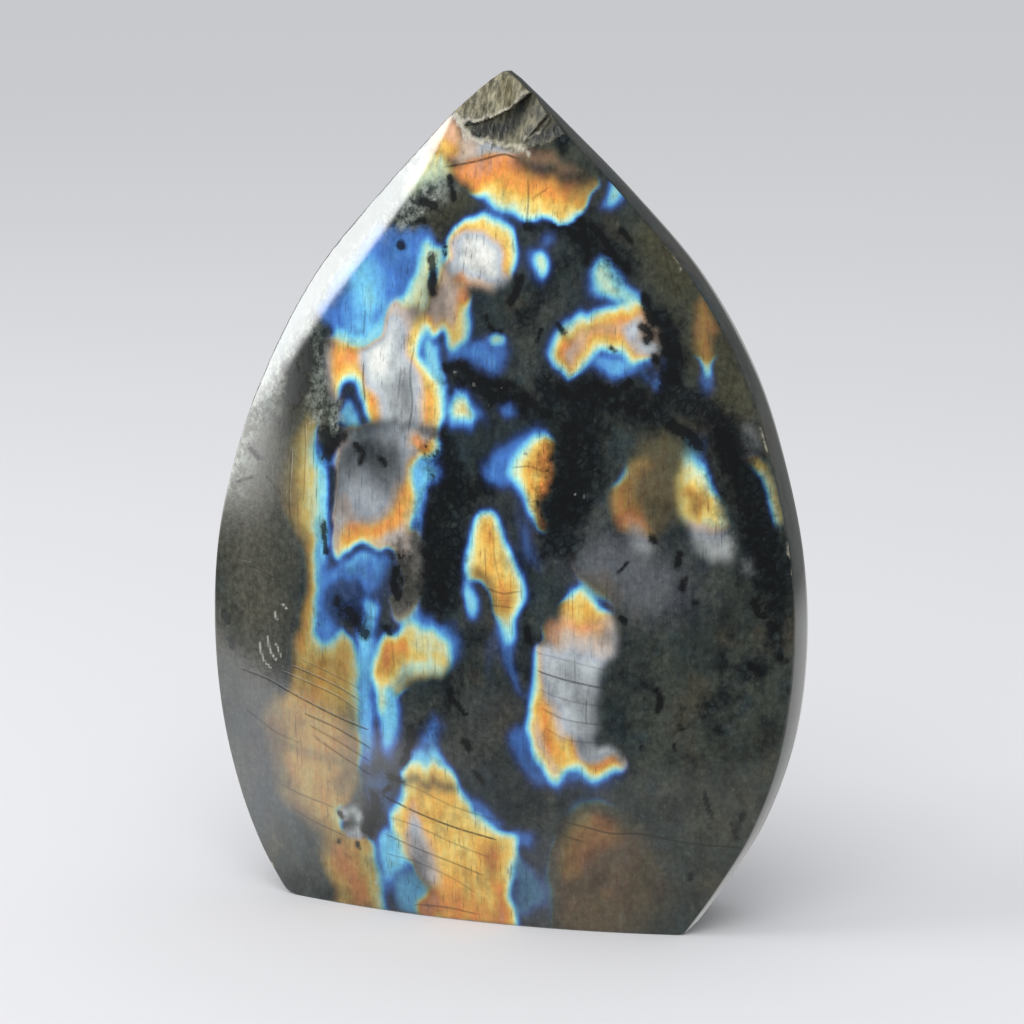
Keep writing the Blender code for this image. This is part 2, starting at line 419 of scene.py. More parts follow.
class FaceDrawing:
    """Values drawn on a flat canvas over one face of the stone, read off at its mesh points."""

    def __init__(self):
        x = np.arange(-canvas_half_width, canvas_half_width + canvas_step, canvas_step)
        z = np.arange(canvas_foot, canvas_top, canvas_step)
        self.x, self.z = np.meshgrid(x, z)
        x, z = self.x, self.z
        comb = roughened(0.0, comb_grain, x, z)
        self.ruffled_x = roughened(x, rim_grain_across, x, z)
        self.ruffled_z = roughened(z + comb_reach * comb, rim_grain_upright, x, z)
        self.weight = np.full_like(x, least_weight)
        self.level_sum = np.zeros_like(x)
        self.pale_sum = np.zeros_like(x)
        self.glow_sum = np.zeros_like(x)
        self.ink = np.zeros_like(x)
        self.crack = np.full_like(x, no_crack)
        self.crack_strength = np.zeros_like(x)
        self.scuff = np.zeros_like(x)
        self.tones = {name: np.zeros_like(x) for name in tone_names}

    def near(self, curve, margin, ruffled=True):
        """Pick the canvas points in a box round a curve, and give their ruffled or plain places."""
        x, z = (self.ruffled_x, self.ruffled_z) if ruffled else (self.x, self.z)
        low, high = curve[:, :2].min(axis=0) - margin, curve[:, :2].max(axis=0) + margin
        picked = (x > low[0]) & (x < high[0]) & (z > low[1]) & (z < high[1])
        return picked, x[picked], z[picked]

    def patch(self, outline, fringe=1.0, peak=0.6, climb=1.0, glow=0.9):
        """Raise the flash level inside an outline, and a little in a dim halo outside it.

        A point of the outline is (x, z), or (x, z, width) where it doesn't have the outline's
        usual width, given by fringe. A positive width is that of the coloured fringe there. A
        negative width gives no fringe: the patch keeps its level up to the rim and its glow
        dies away over that distance.
        """
        points = []
        for x, z, *width in outline:
            width = width[0] if width else fringe
            points.append((x, z, max(width, least_width), max(-width, least_width)))
        curve = rounded(points, True, outline_steps)
        picked, x, z = self.near(curve, halo_share * curve[:, 2].max())
        rise = np.full_like(x, far_away)
        fade = np.full_like(x, far_away)
        nearest = np.full_like(x, far_away)
        bare = np.zeros_like(x)
        inside = np.zeros(x.shape, bool)
        for span in spans(curve, closed=True):
            (x0, z0, fringe0, fade0), (x1, z1, fringe1, fade1) = span
            reach, share = reach_to(span, x, z)
            rise = np.minimum(rise, reach / np.maximum(fringe0 + (fringe1 - fringe0) * share, least_width))
            fade_width = np.maximum(fade0 + (fade1 - fade0) * share, least_width)
            fade = np.minimum(fade, reach / fade_width)
            bare_here = np.clip((fade_width - bare_from) / bare_width, 0, 1)
            bare = np.where(reach < nearest, bare_here, bare)
            nearest = np.minimum(nearest, reach)
            if z0 != z1:
                inside ^= ((z0 > z) != (z1 > z)) & (x < x0 + (z - z0) * (x1 - x0) / (z1 - z0))
        top_level, top_pale = settled(peak)
        rim = min(top_level, rim_level)
        edge = min(halo_level, halo_peak_share * peak)
        rise /= roughened(1.0, fringe_grain, x, z)
        climbed = np.maximum(ease((rise - 1) * fringe / climb), bare)
        level = edge + (rim - edge) * np.clip(rise, 0, 1) + (top_level - rim) * climbed
        level = np.where(inside, level, edge * np.clip(1 - rise / halo_share, 0, 1)**2)
        shown = np.where(inside, ease(fade), 1.0 - bare)
        weight = level**3 * shown
        self.weight[picked] += weight
        self.level_sum[picked] += level * weight
        self.pale_sum[picked] += np.where(inside, top_pale * climbed, 0.0) * weight
        self.glow_sum[picked] += glow * shown * weight

    def stroke(self, line, radius, ruffled=True):
        """Closeness to a stroke: 1 on its line and 0 at its radius."""
        curve = rounded(line, False, line_steps) if len(line) > 1 else np.array(line * 2, float)
        picked, x, z = self.near(curve, radius, ruffled)
        nearest = np.full_like(x, far_away)
        for span in spans(curve):
            nearest = np.minimum(nearest, reach_to(span, x, z)[0])
        return picked, np.clip(1 - nearest / radius, 0, 1)

    def shade(self, line, radius, strength):
        """Dull the flash along a stroke, as clouded rock does. A negative strength lifts it."""
        picked, closeness = self.stroke(line, radius)
        self.glow_sum[picked] *= 1 - strength * ease(closeness)

    def shift(self, line, radius, change, least=0.55):
        """Move the light along the spectral order at a stroke, but not below the least place given."""
        picked, closeness = self.stroke(line, radius)
        weight = self.weight[picked]
        level, pale = self.level_sum[picked] / weight, self.pale_sum[picked] / weight
        order = order_of(level, pale)
        moved_level, moved_pale = settled(np.maximum(order + change, np.minimum(order, least)))
        share = ease(closeness) * np.clip(level / shift_full_level, 0, 1) * weight
        self.level_sum[picked] += share * (moved_level - level)
        self.pale_sum[picked] += share * (moved_pale - pale)

    def tone(self, name, line, radius, strength):
        """Tint the ground along a stroke, fading out at its radius."""
        picked, closeness = self.stroke(line, radius)
        self.tones[name][picked] = np.maximum(self.tones[name][picked], strength * ease(closeness))

    def ore(self, line, radius, strength=1.0):
        """Black ore grains that lie in the feldspar."""
        picked, closeness = self.stroke(line, ore_halo * radius, ruffled=False)
        self.ink[picked] = np.maximum(self.ink[picked], strength * closeness)

    def cleft(self, line, strength):
        """A hairline crack: signed distance to it, with its strength close by."""
        curve = rounded(line, False, line_steps)
        picked, x, z = self.near(curve, crack_reach, ruffled=False)
        nearest = np.full_like(x, far_away)
        signed = np.full_like(x, no_crack)
        for span in spans(curve):
            reach = reach_to(span, x, z)[0]
            (x0, z0), (x1, z1) = span
            closer = reach < nearest
            nearest = np.where(closer, reach, nearest)
            signed = np.where(closer, reach * np.sign((x - x0) * (z1 - z0) - (z - z0) * (x1 - x0)), signed)
        best = nearest < np.abs(self.crack[picked])
        self.crack[picked] = np.where(best, signed, self.crack[picked])
        here = strength * (1 - ease((nearest - crack_core) / crack_fade))
        self.crack_strength[picked] = np.where(best, here, self.crack_strength[picked])

    def scratch(self, line, radius):
        """A pale scuff in the polish."""
        picked, closeness = self.stroke(line, scuff_halo * radius, ruffled=False)
        self.scuff[picked] = np.maximum(self.scuff[picked], closeness)


def draw_blue_pool(face):
    """Blue field under the shoulder and the pale column on its right."""
    face.patch([(-11.8, 89.9, -1.2), (-15.2, 89.4, -0.9), (-18.2, 86.2, -0.8), (-21.3, 82, -0.8),
                (-23.6, 79, -0.9), (-22.4, 77, -1.2), (-20.4, 75.6), (-17.6, 73.8), (-14.8, 73.6),
                (-12.4, 76), (-10, 81.4), (-7.4, 85.8), (-6.4, 88.2), (-8.4, 90.2, -1.2)],
               fringe=1.4, peak=0.25, glow=0.97)
    face.shift([(-16.6, 83.4), (-15.6, 80.4)], 4.4, 0.07)
    face.shift([(-15.8, 81.2)], 1.8, 0.03)
    face.shift([(-18, 77.2), (-14.4, 76.6)], 1.6, 0.06)
    face.shade([(-13.6, 87.8), (-12.6, 86), (-11.4, 84.8)], 1.9, 0.2)
    face.shade([(-21, 79.6), (-19, 82.2)], 1, 0.5)
    face.patch([(-6, 87.6, 0.7), (-8.2, 88.2, 0.9), (-9.4, 86.2), (-10.4, 83.8, 1.1), (-12, 81.4, 1.1),
                (-13.4, 78.6), (-12, 77.4, -1.4), (-9.4, 77, -1.2), (-7.4, 79.6, -0.7), (-7.1, 84, -0.5),
                (-6.2, 86, 0.6)], peak=0.46, glow=0.8)
    face.patch([(-7, 88.2, 0.6), (-5.6, 87.8, 0.6), (-5.3, 85, 0.5), (-5.6, 82.2), (-6.5, 82),
                (-6.6, 85.4, 0.5)], fringe=-0.5, peak=0.45, glow=0.62)
    face.shade([(-8, 83), (-8.4, 80)], 1.6, 0.3)


def draw_lilac_island(face):
    """Lilac-white island with warm shores, and the beige leg at its upper right."""
    face.patch([(-12.9, 79.4, -0.9), (-13.5, 77.2, -1), (-14.6, 75.6, -1.1), (-16.4, 74.7, -1.1),
                (-18.2, 75.3, -1), (-20.2, 76, -1.8), (-22.2, 74.4, -2.8), (-22.4, 71.4, -2.4),
                (-21.4, 69, -1.6), (-20.3, 67.7, -0.8), (-19.2, 68.6, 0.9), (-18, 69.6), (-17, 68.7, 0.9),
                (-16.2, 66.7, 0.8), (-15.4, 65, 0.7), (-13.6, 64.4, -0.8), (-11, 64.6, -1.2),
                (-8.6, 64.2, -0.8), (-6.6, 64, -0.6), (-5.2, 65.2, 0.9), (-4.5, 67.6, 1.2),
                (-4.8, 70.4, 1.3), (-6.5, 72.6, 1.3), (-8, 74.2, 1.2), (-7.6, 75.8), (-6.2, 76.6, 0.9),
                (-5.2, 77.4, -0.5), (-6.6, 78.4, -0.8), (-8.4, 79.6, -1.2), (-11, 80.8, -1.4)],
               peak=0.93, climb=1.3, glow=0.96)
    face.shift([(-19.8, 74), (-19.4, 70)], 3.2, -0.31)
    face.shift([(-17.8, 74), (-16.8, 71)], 1.8, -0.14)
    face.shift([(-8.6, 76.8), (-9, 74.4), (-7.4, 72), (-6.6, 69.6), (-6.9, 66.4)], 2.5, -0.3)
    face.shift([(-15.2, 68.2), (-14.2, 65.8)], 1.9, -0.29)
    face.shift([(-8.2, 78), (-6.4, 77.6)], 1.3, -0.26)
    face.shift([(-14.4, 76.4), (-14, 72.4)], 2.4, 0.07)
    face.patch([(-20.6, 77.2, 0.8), (-18.2, 76.9), (-16.2, 76.7), (-14.9, 78), (-13.9, 80.2), (-12.6, 81.6),
                (-12.2, 79.6), (-12.9, 77), (-14.4, 74.9), (-16.6, 73.9), (-18.6, 74.6), (-20.6, 75.4)],
               fringe=0.9, peak=0.4, glow=0.95)
    face.shade([(-10.2, 70.8), (-9.6, 67)], 1.8, 0.64)
    face.shade([(-10.8, 69.6), (-10.8, 65.6)], 2.6, 0.26)
    face.shade([(-13, 69.8), (-11.8, 66.6)], 1.4, 0.44)
    face.shade([(-22, 65.4), (-16, 64.9), (-10, 64.9), (-5, 64.5)], 1.4, 0.75)
    face.shade([(-16.2, 72.6), (-16, 68.6)], 0.6, 0.35)
    face.shade([(-11.6, 76.4), (-11.4, 71.6)], 0.7, 0.2)
    face.patch([(-5.8, 85.6, -1.2), (-6.8, 83, -0.9), (-7.2, 80, -0.8), (-6.8, 78, -0.6), (-5.6, 77, 0.6),
                (-5, 75.5, 0.8), (-3.4, 74.7), (-1.9, 75.4, 1), (-1.1, 77.4, 1.1), (-1.2, 79.8, 1),
                (-1.7, 82, -1.2), (-2.4, 84.6, -1.4)], fringe=0.9, peak=0.8, climb=1.2, glow=0.6)
    face.shift([(-4.6, 76.8), (-2.6, 76.8)], 1.5, -0.15)
    face.shift([(-2.6, 81.6), (-2.4, 79.2)], 1.2, -0.12)
    face.shade([(-6.2, 82.4), (-5.6, 79)], 1.5, 0.5)
    face.shade([(-3.4, 83), (-4.4, 84.6)], 1.6, 0.4)
    face.shade([(-9.6, 79.2), (-8.6, 77.9)], 1.9, 0.72)


def draw_grey_island(face):
    """Dark grey island below the lilac one, with a vivid orange shore on its right and foot."""
    face.patch([(-20.2, 60.8, -1.8), (-20.1, 57, -0.8), (-20.3, 52.8, -0.6), (-20.6, 50, -0.5),
                (-20.5, 47.9, 0.6), (-19.4, 46.9, 0.7), (-18.2, 48.1, 0.8), (-16.4, 48.8), (-13.8, 48.8),
                (-11.6, 49.3), (-10.2, 50.4, -0.7), (-9, 51.8), (-8.1, 54, 1.1), (-7.9, 57, 1.2),
                (-8.2, 59.4, 1), (-7.4, 60.8), (-6.3, 60), (-5, 61.4, 1), (-5.2, 63.2), (-6.6, 64.6, -0.6),
                (-10, 65.2, -1.4), (-15, 65, -2.4), (-19, 63.8, -2.6)],
               fringe=0.9, peak=0.9, climb=0.7, glow=0.57)
    face.shift([(-9.9, 57.4), (-10.5, 54.6), (-12.4, 52.2), (-15.4, 50.8), (-18.6, 49.6)], 2.5, -0.28)
    face.shift([(-9, 60.4), (-9.2, 58)], 1.3, -0.24)
    face.shift([(-8.4, 63.2), (-6.2, 62.2)], 1.9, -0.22)
    face.shift([(-18.8, 54.4), (-17.6, 51.8)], 2, -0.1)
    face.shade([(-9.6, 57.8), (-10.3, 54.4), (-12.4, 51.6), (-16, 50), (-19.4, 48.6)], 2, -0.48)
    face.shade([(-7.6, 62.8), (-5.8, 62)], 2.4, -0.6)
    face.shade([(-14.4, 58), (-12.8, 56.6)], 3.2, 0.3)
    face.shade([(-15.4, 61.8), (-13.4, 59.8)], 5.4, 1)
    face.shade([(-19, 62.6), (-18.6, 58.6)], 3.2, 0.76)
    face.shade([(-11.4, 62), (-11.2, 58.8)], 1.8, 0.6)
    face.shade([(-19.4, 56.6), (-18.4, 53)], 1.4, 0.45)
    face.shade([(-17, 56.2), (-16, 52.6)], 1.4, 0.22)
    face.patch([(-23.4, 59.8, 0.8), (-22.2, 61.4), (-20.6, 61.2), (-19.2, 62.8, 0.9), (-17.4, 63.4, 0.9),
                (-16.8, 62.4, 0.9), (-18.2, 60.8, 0.9), (-20.2, 59.4), (-22.2, 58.6, 0.8)],
               peak=0.39, glow=1)
    face.patch([(-19.8, 64.4), (-19.2, 67.4, 0.8), (-18, 68.4, 0.8), (-16.8, 66.8, 0.9), (-16.4, 64.6, -1),
                (-18, 63.6)], fringe=-1.2, peak=0.33, glow=0.7)
    # blue channel between the island and the gold stripe, and the navy bay below
    face.patch([(-23.2, 60, 0.8), (-21.8, 60.4, 0.9), (-20.9, 58), (-20.8, 50), (-20.8, 46.6, 0.9),
                (-22.2, 45.6), (-22.9, 52)], fringe=0.5, peak=0.39, glow=1)
    face.patch([(-22.8, 50, 0.5), (-20.4, 47.4, 0.9), (-19, 46.2, 1.1), (-16.2, 48.3, 1.1),
                (-12.6, 48.4, 1.2), (-11.2, 46.6, 1.4), (-12, 43.4, 1.4), (-13.2, 40.4), (-15.2, 39.4),
                (-17.4, 38.9), (-19, 38.6, 0.9), (-20.6, 35.4, 0.6), (-22.8, 35.6, 0.4), (-23.2, 42, 0.4)],
               peak=0.19, glow=0.6)
    face.patch([(-22.9, 48, 0.5), (-20.6, 46.4, 0.7), (-17.6, 47.8, 0.7), (-13.6, 48.7), (-11.6, 47.6, 1.3),
                (-12.4, 45, 1.4), (-14, 43, 1.2), (-15.6, 42.8, 1), (-17.4, 44.2, 0.9), (-19.4, 43.8, 0.9),
                (-20.8, 42.6), (-20.9, 40), (-19.8, 38.8, 0.9), (-18.6, 37.4), (-20.6, 35, 0.6),
                (-23, 35.2, 0.6), (-23.2, 42, 0.5)], fringe=0.8, peak=0.28, glow=0.86)
    face.shift([(-21.6, 46.8), (-18.6, 47.2), (-15, 48)], 1.2, 0.06, least=0.3)
    face.shade([(-17.4, 45.2), (-14.6, 45.4)], 1.2, 0.3)
    face.shade([(-12.4, 46.4), (-13.6, 44.4)], 1.4, 0.35)
    face.patch([(-16, 42.4, 0.8), (-14.8, 43.2, 0.9), (-13.4, 42, 0.9), (-13.6, 38.6, 0.8), (-15.8, 38.2),
                (-16.1, 40.6)], fringe=0.7, peak=0.35, glow=0.95)
    face.patch([(-11.6, 50.6, -1.6), (-9.6, 52.4, -1.6), (-7, 51, -2.6), (-6.6, 46, -3), (-8.4, 40.6, -2.8),
                (-11.4, 39.6, -2.2), (-12.4, 42.8, -2), (-10.6, 45.6, -2), (-11.8, 48.2, -1.8)],
               peak=0.82, glow=0.1)
    face.patch([(-11.6, 50.8), (-10, 52.2), (-8.9, 51.2), (-9, 48.8), (-11, 48.6)],
               fringe=-0.8, peak=0.8, glow=0.72)


def draw_gold_stripe(face):
    """The tall gold stripe at the left that widens into the brown-gold field of the foot."""
    face.patch([(-22.9, 64.2, -0.9), (-22.7, 62.4, 0.5), (-21.9, 59), (-21.6, 55, 1.2), (-21.8, 50, 1.1),
                (-22, 45, 1.1), (-22.2, 40, 1.1), (-22.4, 36.6), (-22, 34), (-24, 31, -2),
                (-26.6, 33, -1.3), (-26, 37, -1), (-24.8, 41, -0.9), (-24.2, 45, -0.8), (-25, 48.6, -1.2),
                (-27.2, 51, -3.2), (-29.4, 54, -5.2), (-28.6, 59, -4.8), (-26.4, 63.6, -3.2),
                (-24.2, 66, -2.2)], peak=0.545, climb=2.4, glow=0.5)
    face.shade([(-23.6, 58), (-23.4, 52)], 2, -0.22)
    face.shift([(-23.6, 49), (-23.8, 42), (-24.6, 36)], 1.6, 0.05)
    face.shade([(-23.4, 65), (-23.6, 61.6)], 1.6, 0.4)
    face.shade([(-24.8, 50), (-24.6, 42)], 1.8, 0.34)
    face.shade([(-26.8, 60), (-26.6, 54)], 2.6, 0.35)
    face.patch([(-22.9, 36.6, 0.8), (-21.6, 36.2, 0.9), (-20.2, 37.8, 0.9), (-18.8, 38, 0.9),
                (-17.4, 36.6, 0.9), (-16.5, 34.4, 0.9), (-16.1, 30, 0.9), (-16.2, 25.4, 0.9),
                (-16.3, 21.4, -0.8), (-16.6, 18.6, -1.2), (-17.4, 16, -1.2), (-18.6, 14, -0.8),
                (-20.6, 13.4, -0.6), (-20.2, 11.6, -0.5), (-18.4, 9.6, -0.4), (-16, 10.2, -0.6),
                (-14.8, 9.6, 0.9), (-14.2, 6.8), (-13.8, 3.4, 1.1), (-13.4, -1.5, 1.2), (-21.6, -1.5, -1.6),
                (-22, 1.2, -1.8), (-24, 5.6, -2.2), (-24.6, 9.6, -2.6), (-29.6, 12.8, -3.4),
                (-31, 17, -3.6), (-32.2, 21.6, -3.6), (-32.4, 25.4, -3.4), (-29.6, 28.2, -2.4),
                (-27.2, 29.4, -1.3), (-26.9, 33, -1.2), (-26.2, 37.4, -1.2)],
               peak=0.57, climb=2.6, glow=0.39)
    face.shade([(-22.6, 34), (-22.6, 31)], 3, -0.16)
    face.shift([(-20, 6), (-17.4, 2)], 3.4, 0.06)
    face.shade([(-19.6, 5.6), (-17.4, 2)], 2.6, 0.1)
    face.shade([(-29.4, 25), (-29.4, 19), (-27, 14)], 3.2, 0.5)
    face.shade([(-18.2, 25.4), (-17.8, 20.4), (-19.4, 16.6)], 3, 0.55)
    face.shade([(-31, 21.6), (-24.6, 20.8), (-19, 19.8)], 1.1, 0.45)
    face.shade([(-25, 12.6), (-23, 9.6), (-22, 7.4)], 2, 0.5)
    face.shade([(-18.6, 1), (-15.4, 0.4)], 1.2, 0.35)
    for x, z, size in ((-19.5, 12.7, 0.9), (-18, 13, 0.8), (-17.1, 11.9, 0.9), (-17.4, 10.2, 1),
                       (-18.6, 9.9, 0.7)):
        face.patch([(x - size, z + 0.2, -0.5), (x, z + size, -0.5), (x + 0.9 * size, z, -0.5),
                    (x, z - size, -0.5)], fringe=0.5, peak=0.93, climb=0.3, glow=0.72)
    face.patch([(-22.2, 13.4), (-20.8, 13.9), (-19.6, 12.6), (-20, 10.8), (-21.4, 11)],
               fringe=0.6, peak=0.46, glow=0.5)


def draw_blue_gap(face):
    """Blue gap between the gold fields, running up into the bay, and the cream patch beside it."""
    face.patch([(-17.6, 38.2), (-15.8, 40.6, 0.8), (-14, 41, 0.8), (-13.8, 37), (-14.3, 32), (-14.2, 27),
                (-14, 22.6, 0.9), (-14.9, 19.8, 1.2), (-16.6, 19.4, 1.2), (-17.1, 24, 0.8), (-16.9, 30),
                (-16.8, 35)], fringe=0.7, peak=0.3, glow=0.92)
    face.shift([(-16.4, 36.6), (-16.2, 33)], 1, 0.07)
    face.shade([(-15.7, 33.4), (-15.5, 31)], 1, 0.3)
    face.shade([(-15.4, 23.4), (-15.2, 20)], 1.6, 0.45)
    face.patch([(-15.1, 33.4, 0.7), (-14.7, 36.4, 0.9), (-13.2, 38.3, 1), (-11.2, 38.8, 1),
                (-10.2, 40.6, 1.2), (-8.2, 40.8, 1.3), (-6.2, 39.8, 1.3), (-4.4, 38.8, 1.2),
                (-3.3, 36.8, 1), (-3.6, 34.4, -1), (-5.4, 32.8, -1.4), (-8.2, 32.2, -1.4),
                (-9.6, 30.6, -1.6), (-11, 29.4, -1.4), (-12.4, 30.2, -0.8), (-13.6, 29.6, 0.6),
                (-14.7, 31, 0.7)], fringe=1.1, peak=0.57, climb=1.1, glow=0.72)
    face.shift([(-13.3, 33), (-12.6, 36), (-10.8, 36.6)], 1.8, 0.07)
    face.shift([(-8.2, 37.6), (-5.2, 36.8)], 2.6, -0.09, least=0.46)
    face.shift([(-11, 31.6), (-8.8, 33.8), (-5.2, 34.2)], 1.9, -0.15, least=0.43)
    face.shade([(-11, 31.4), (-9.6, 32.6)], 1.8, 0.42)
    face.shade([(-11, 35), (-10.2, 34.2)], 0.9, 0.3)
    face.shade([(-13.2, 35.6), (-12.6, 33.2)], 1.8, 0.25)
    face.shade([(-4.4, 34.2), (-3.6, 35.6)], 1, 0.3)
    face.patch([(-11.9, 39.8, 0.8), (-10.6, 41.6, 1.2), (-8.4, 42.4, 1.4), (-6.2, 41, 1.3),
                (-3.6, 39.8, 1.3), (-2, 37.8, 1.3), (-2.4, 35), (-4, 35, 0.6), (-6, 38.6, 0.4)],
               peak=0.28, glow=0.93)
    # its trailing leg, cream beside the gap and blue on the right
    face.patch([(-13.9, 30.6, 0.6), (-12.2, 31, 0.8), (-10.8, 29.8, 0.9), (-10.4, 27, 1.1),
                (-10.9, 23.6, 1.2), (-12, 21, 1.3), (-13.4, 20.8), (-14, 23, 0.6), (-14, 27, 0.5)],
               peak=0.33, glow=0.84)
    face.patch([(-14.6, 32.6, 0.5), (-13, 33.2), (-12.3, 30.6, 0.7), (-12.6, 27.4, 0.8), (-13.4, 25, 0.7),
                (-14.2, 27, 0.5), (-14.5, 30, 0.5)], fringe=0.6, peak=0.53, climb=0.6, glow=0.88)
    face.shade([(-11.8, 30.2), (-10.8, 29.4)], 0.6, 0.35)


def draw_foot_flame(face):
    """Gold flame in the middle of the foot, with its blue crown and column."""
    face.patch([(-11.2, 20.2, 0.7), (-9, 21.5, 0.9), (-6.4, 21.7), (-4.4, 20.9), (-2.8, 19.3), (-1.8, 17.7),
                (-0.4, 15.9, 1.1), (1.4, 14.3, 1.2), (3, 13.3, 1.1), (4.8, 12.9, 0.8), (5, 10.6, 0.8),
                (4.6, 8, 0.9), (4.2, 5.4), (4.2, 3.4, 1.1), (4.8, 1.4), (4.6, -1.5), (-9, -1.5, -1),
                (-7.8, 1.4, -1.6), (-8.2, 4, -1.8), (-10, 6.8, -1.4), (-11.8, 9.8), (-13.2, 12),
                (-13.2, 14.6), (-11.8, 16), (-11.2, 18, 0.7)], peak=0.565, climb=1.8, glow=0.84)
    face.shift([(-7, 15.8), (-4, 13), (-1.6, 11.6)], 3.2, -0.045)
    face.shift([(-12.2, 12.6), (-11.4, 14.8)], 2, -0.12)
    face.shift([(-9.4, 15.2), (-9.2, 11.8)], 1.3, 0.22)
    face.shift([(0.6, 10.6), (1.4, 7.4)], 2.6, 0.055)
    face.shift([(-4.8, 4.6), (-3.6, 1.4), (-0.8, 1)], 3, 0.05)
    face.shade([(-6, 1.8), (-3, 3), (0, 1.6)], 3.4, 0.26)
    face.shift([(-8.4, 1.2), (-6.4, 1.2)], 1.4, 0.12)
    face.shift([(2.6, 4.6), (2.6, 0.6)], 2, 0.14)
    face.shade([(-11, 18.4), (-8, 18.2), (-3.6, 17.8)], 1.3, 0.85)
    face.shade([(1.2, 9.8), (1.2, 6.8)], 2, 0.45)
    face.shade([(2.4, 4), (2, 0)], 1.8, 0.34)
    face.shade([(-9.6, 1), (-4, -0.7), (4, -0.7)], 1.1, 0.4)
    face.shift([(-9, 10.4), (-7.8, 5.4)], 3.4, 0.3)
    face.shade([(-9.2, 9.8), (-8.4, 4.4)], 3, 0.52)
    face.patch([(-13, 5.4, -1.6), (-10.4, 7, -2), (-6.4, 5.4), (-6.8, 1.4), (-10, -1, -1.8),
                (-12.6, 0.6, -1.6)], fringe=-2.2, peak=0.3, glow=0.46)
    face.shade([(-8.8, 7.4), (-7.6, 8.8)], 0.6, 0.35)
    face.patch([(-14.9, 10.4), (-13.8, 12, 1), (-12, 12), (-10, 10.4, 0.8), (-9.4, 7.8, 1.2),
                (-10.6, 5.6, 1.6), (-12.2, 4.4, 1.4), (-13.6, 1), (-14.4, 2, 0.7), (-14.8, 5.6, 0.8)],
               fringe=0.9, peak=0.33)
    face.shade([(-13.6, 8), (-12, 6)], 1.2, 0.25)
    face.patch([(-12.6, 20.2, 0.8), (-10.4, 21.8, 1.2), (-9, 23.4, 1.2), (-8.4, 25.8), (-7.2, 27.8),
                (-5.6, 28), (-4.2, 26.4), (-5, 24.2, 1.2), (-4.6, 22, 1), (-2.4, 19.6, 0.8),
                (-5, 20.4, 0.5), (-9, 20.8, 0.5)], fringe=1.4, peak=0.26, glow=0.8)
    face.shift([(-9.4, 22), (-5, 21.8)], 1.3, 0.09)
    face.shade([(-8.4, 23.8), (-5.6, 23.2)], 0.8, 0.4)
    face.patch([(-2.6, 18.6), (0.2, 17, 1), (2, 15.6, 1.2), (3.4, 14.6, 1.2), (2.6, 13.2, 0.8), (0.2, 14.8),
                (-1.8, 17)], fringe=0.6, peak=0.3)
    face.patch([(3.8, 13.4), (5.4, 13.9), (7.3, 13.9), (7.8, 12, 1.1), (7, 10.6, 1.1), (4.9, 11.2, 0.8)],
               peak=0.23, glow=0.85)
    face.patch([(4.4, 10.6, 0.8), (5.8, 9.8, 1.2), (8.6, 8.4), (9.4, 4.6), (7, 1.6), (4.4, 1.2, 0.8),
                (4.2, 5, 0.6)], fringe=2, peak=0.3, glow=0.26)
    face.patch([(-15.6, 19.6), (-12.8, 20), (-11.6, 17, -1.2), (-14, 12.8), (-16.8, 15.8, -1.6), (-17, 18)],
               fringe=-1.4, peak=0.24, glow=0.24)


def draw_brown_haze(face):
    """Dull orange and brown light at the lower right."""
    face.patch([(9.9, 9.4), (10.6, 12.2), (11.6, 14.8), (13.2, 16.4, 1), (15.6, 16.8, -1.4), (18.8, 16, -3),
                (20.4, 12.6, -3.8), (17.4, 9.6, -3.8), (14, 6.6, -3.4), (11.2, 5, -2.4)],
               fringe=0.9, peak=0.64, climb=0.7, glow=0.33)
    face.patch([(8.8, 12, -2.4), (13.6, 18.4, -4), (22, 16), (27, 6, -8), (20, -4), (9, -4, -3),
                (8.6, 5, -3)], fringe=-6, glow=0.07)
    face.patch([(14.8, 5.8), (16.6, 6.5), (18.4, 5.2), (17, 3.8), (15.2, 4.2)],
               fringe=-1, peak=0.64, glow=0.2)
    face.patch([(11.4, 18, 1.4), (13.2, 19.4), (17, 18.6), (16, 16.2, 1.2), (12.8, 15.8, 0.9)],
               fringe=1.6, peak=0.28, glow=0.16)
    face.patch([(-9.6, 1), (-8.6, 3, -0.9), (-6.4, 3.2), (-5.6, 0.4, -0.6), (-8, -1, -0.6)],
               fringe=-0.8, peak=0.68, glow=0.4)


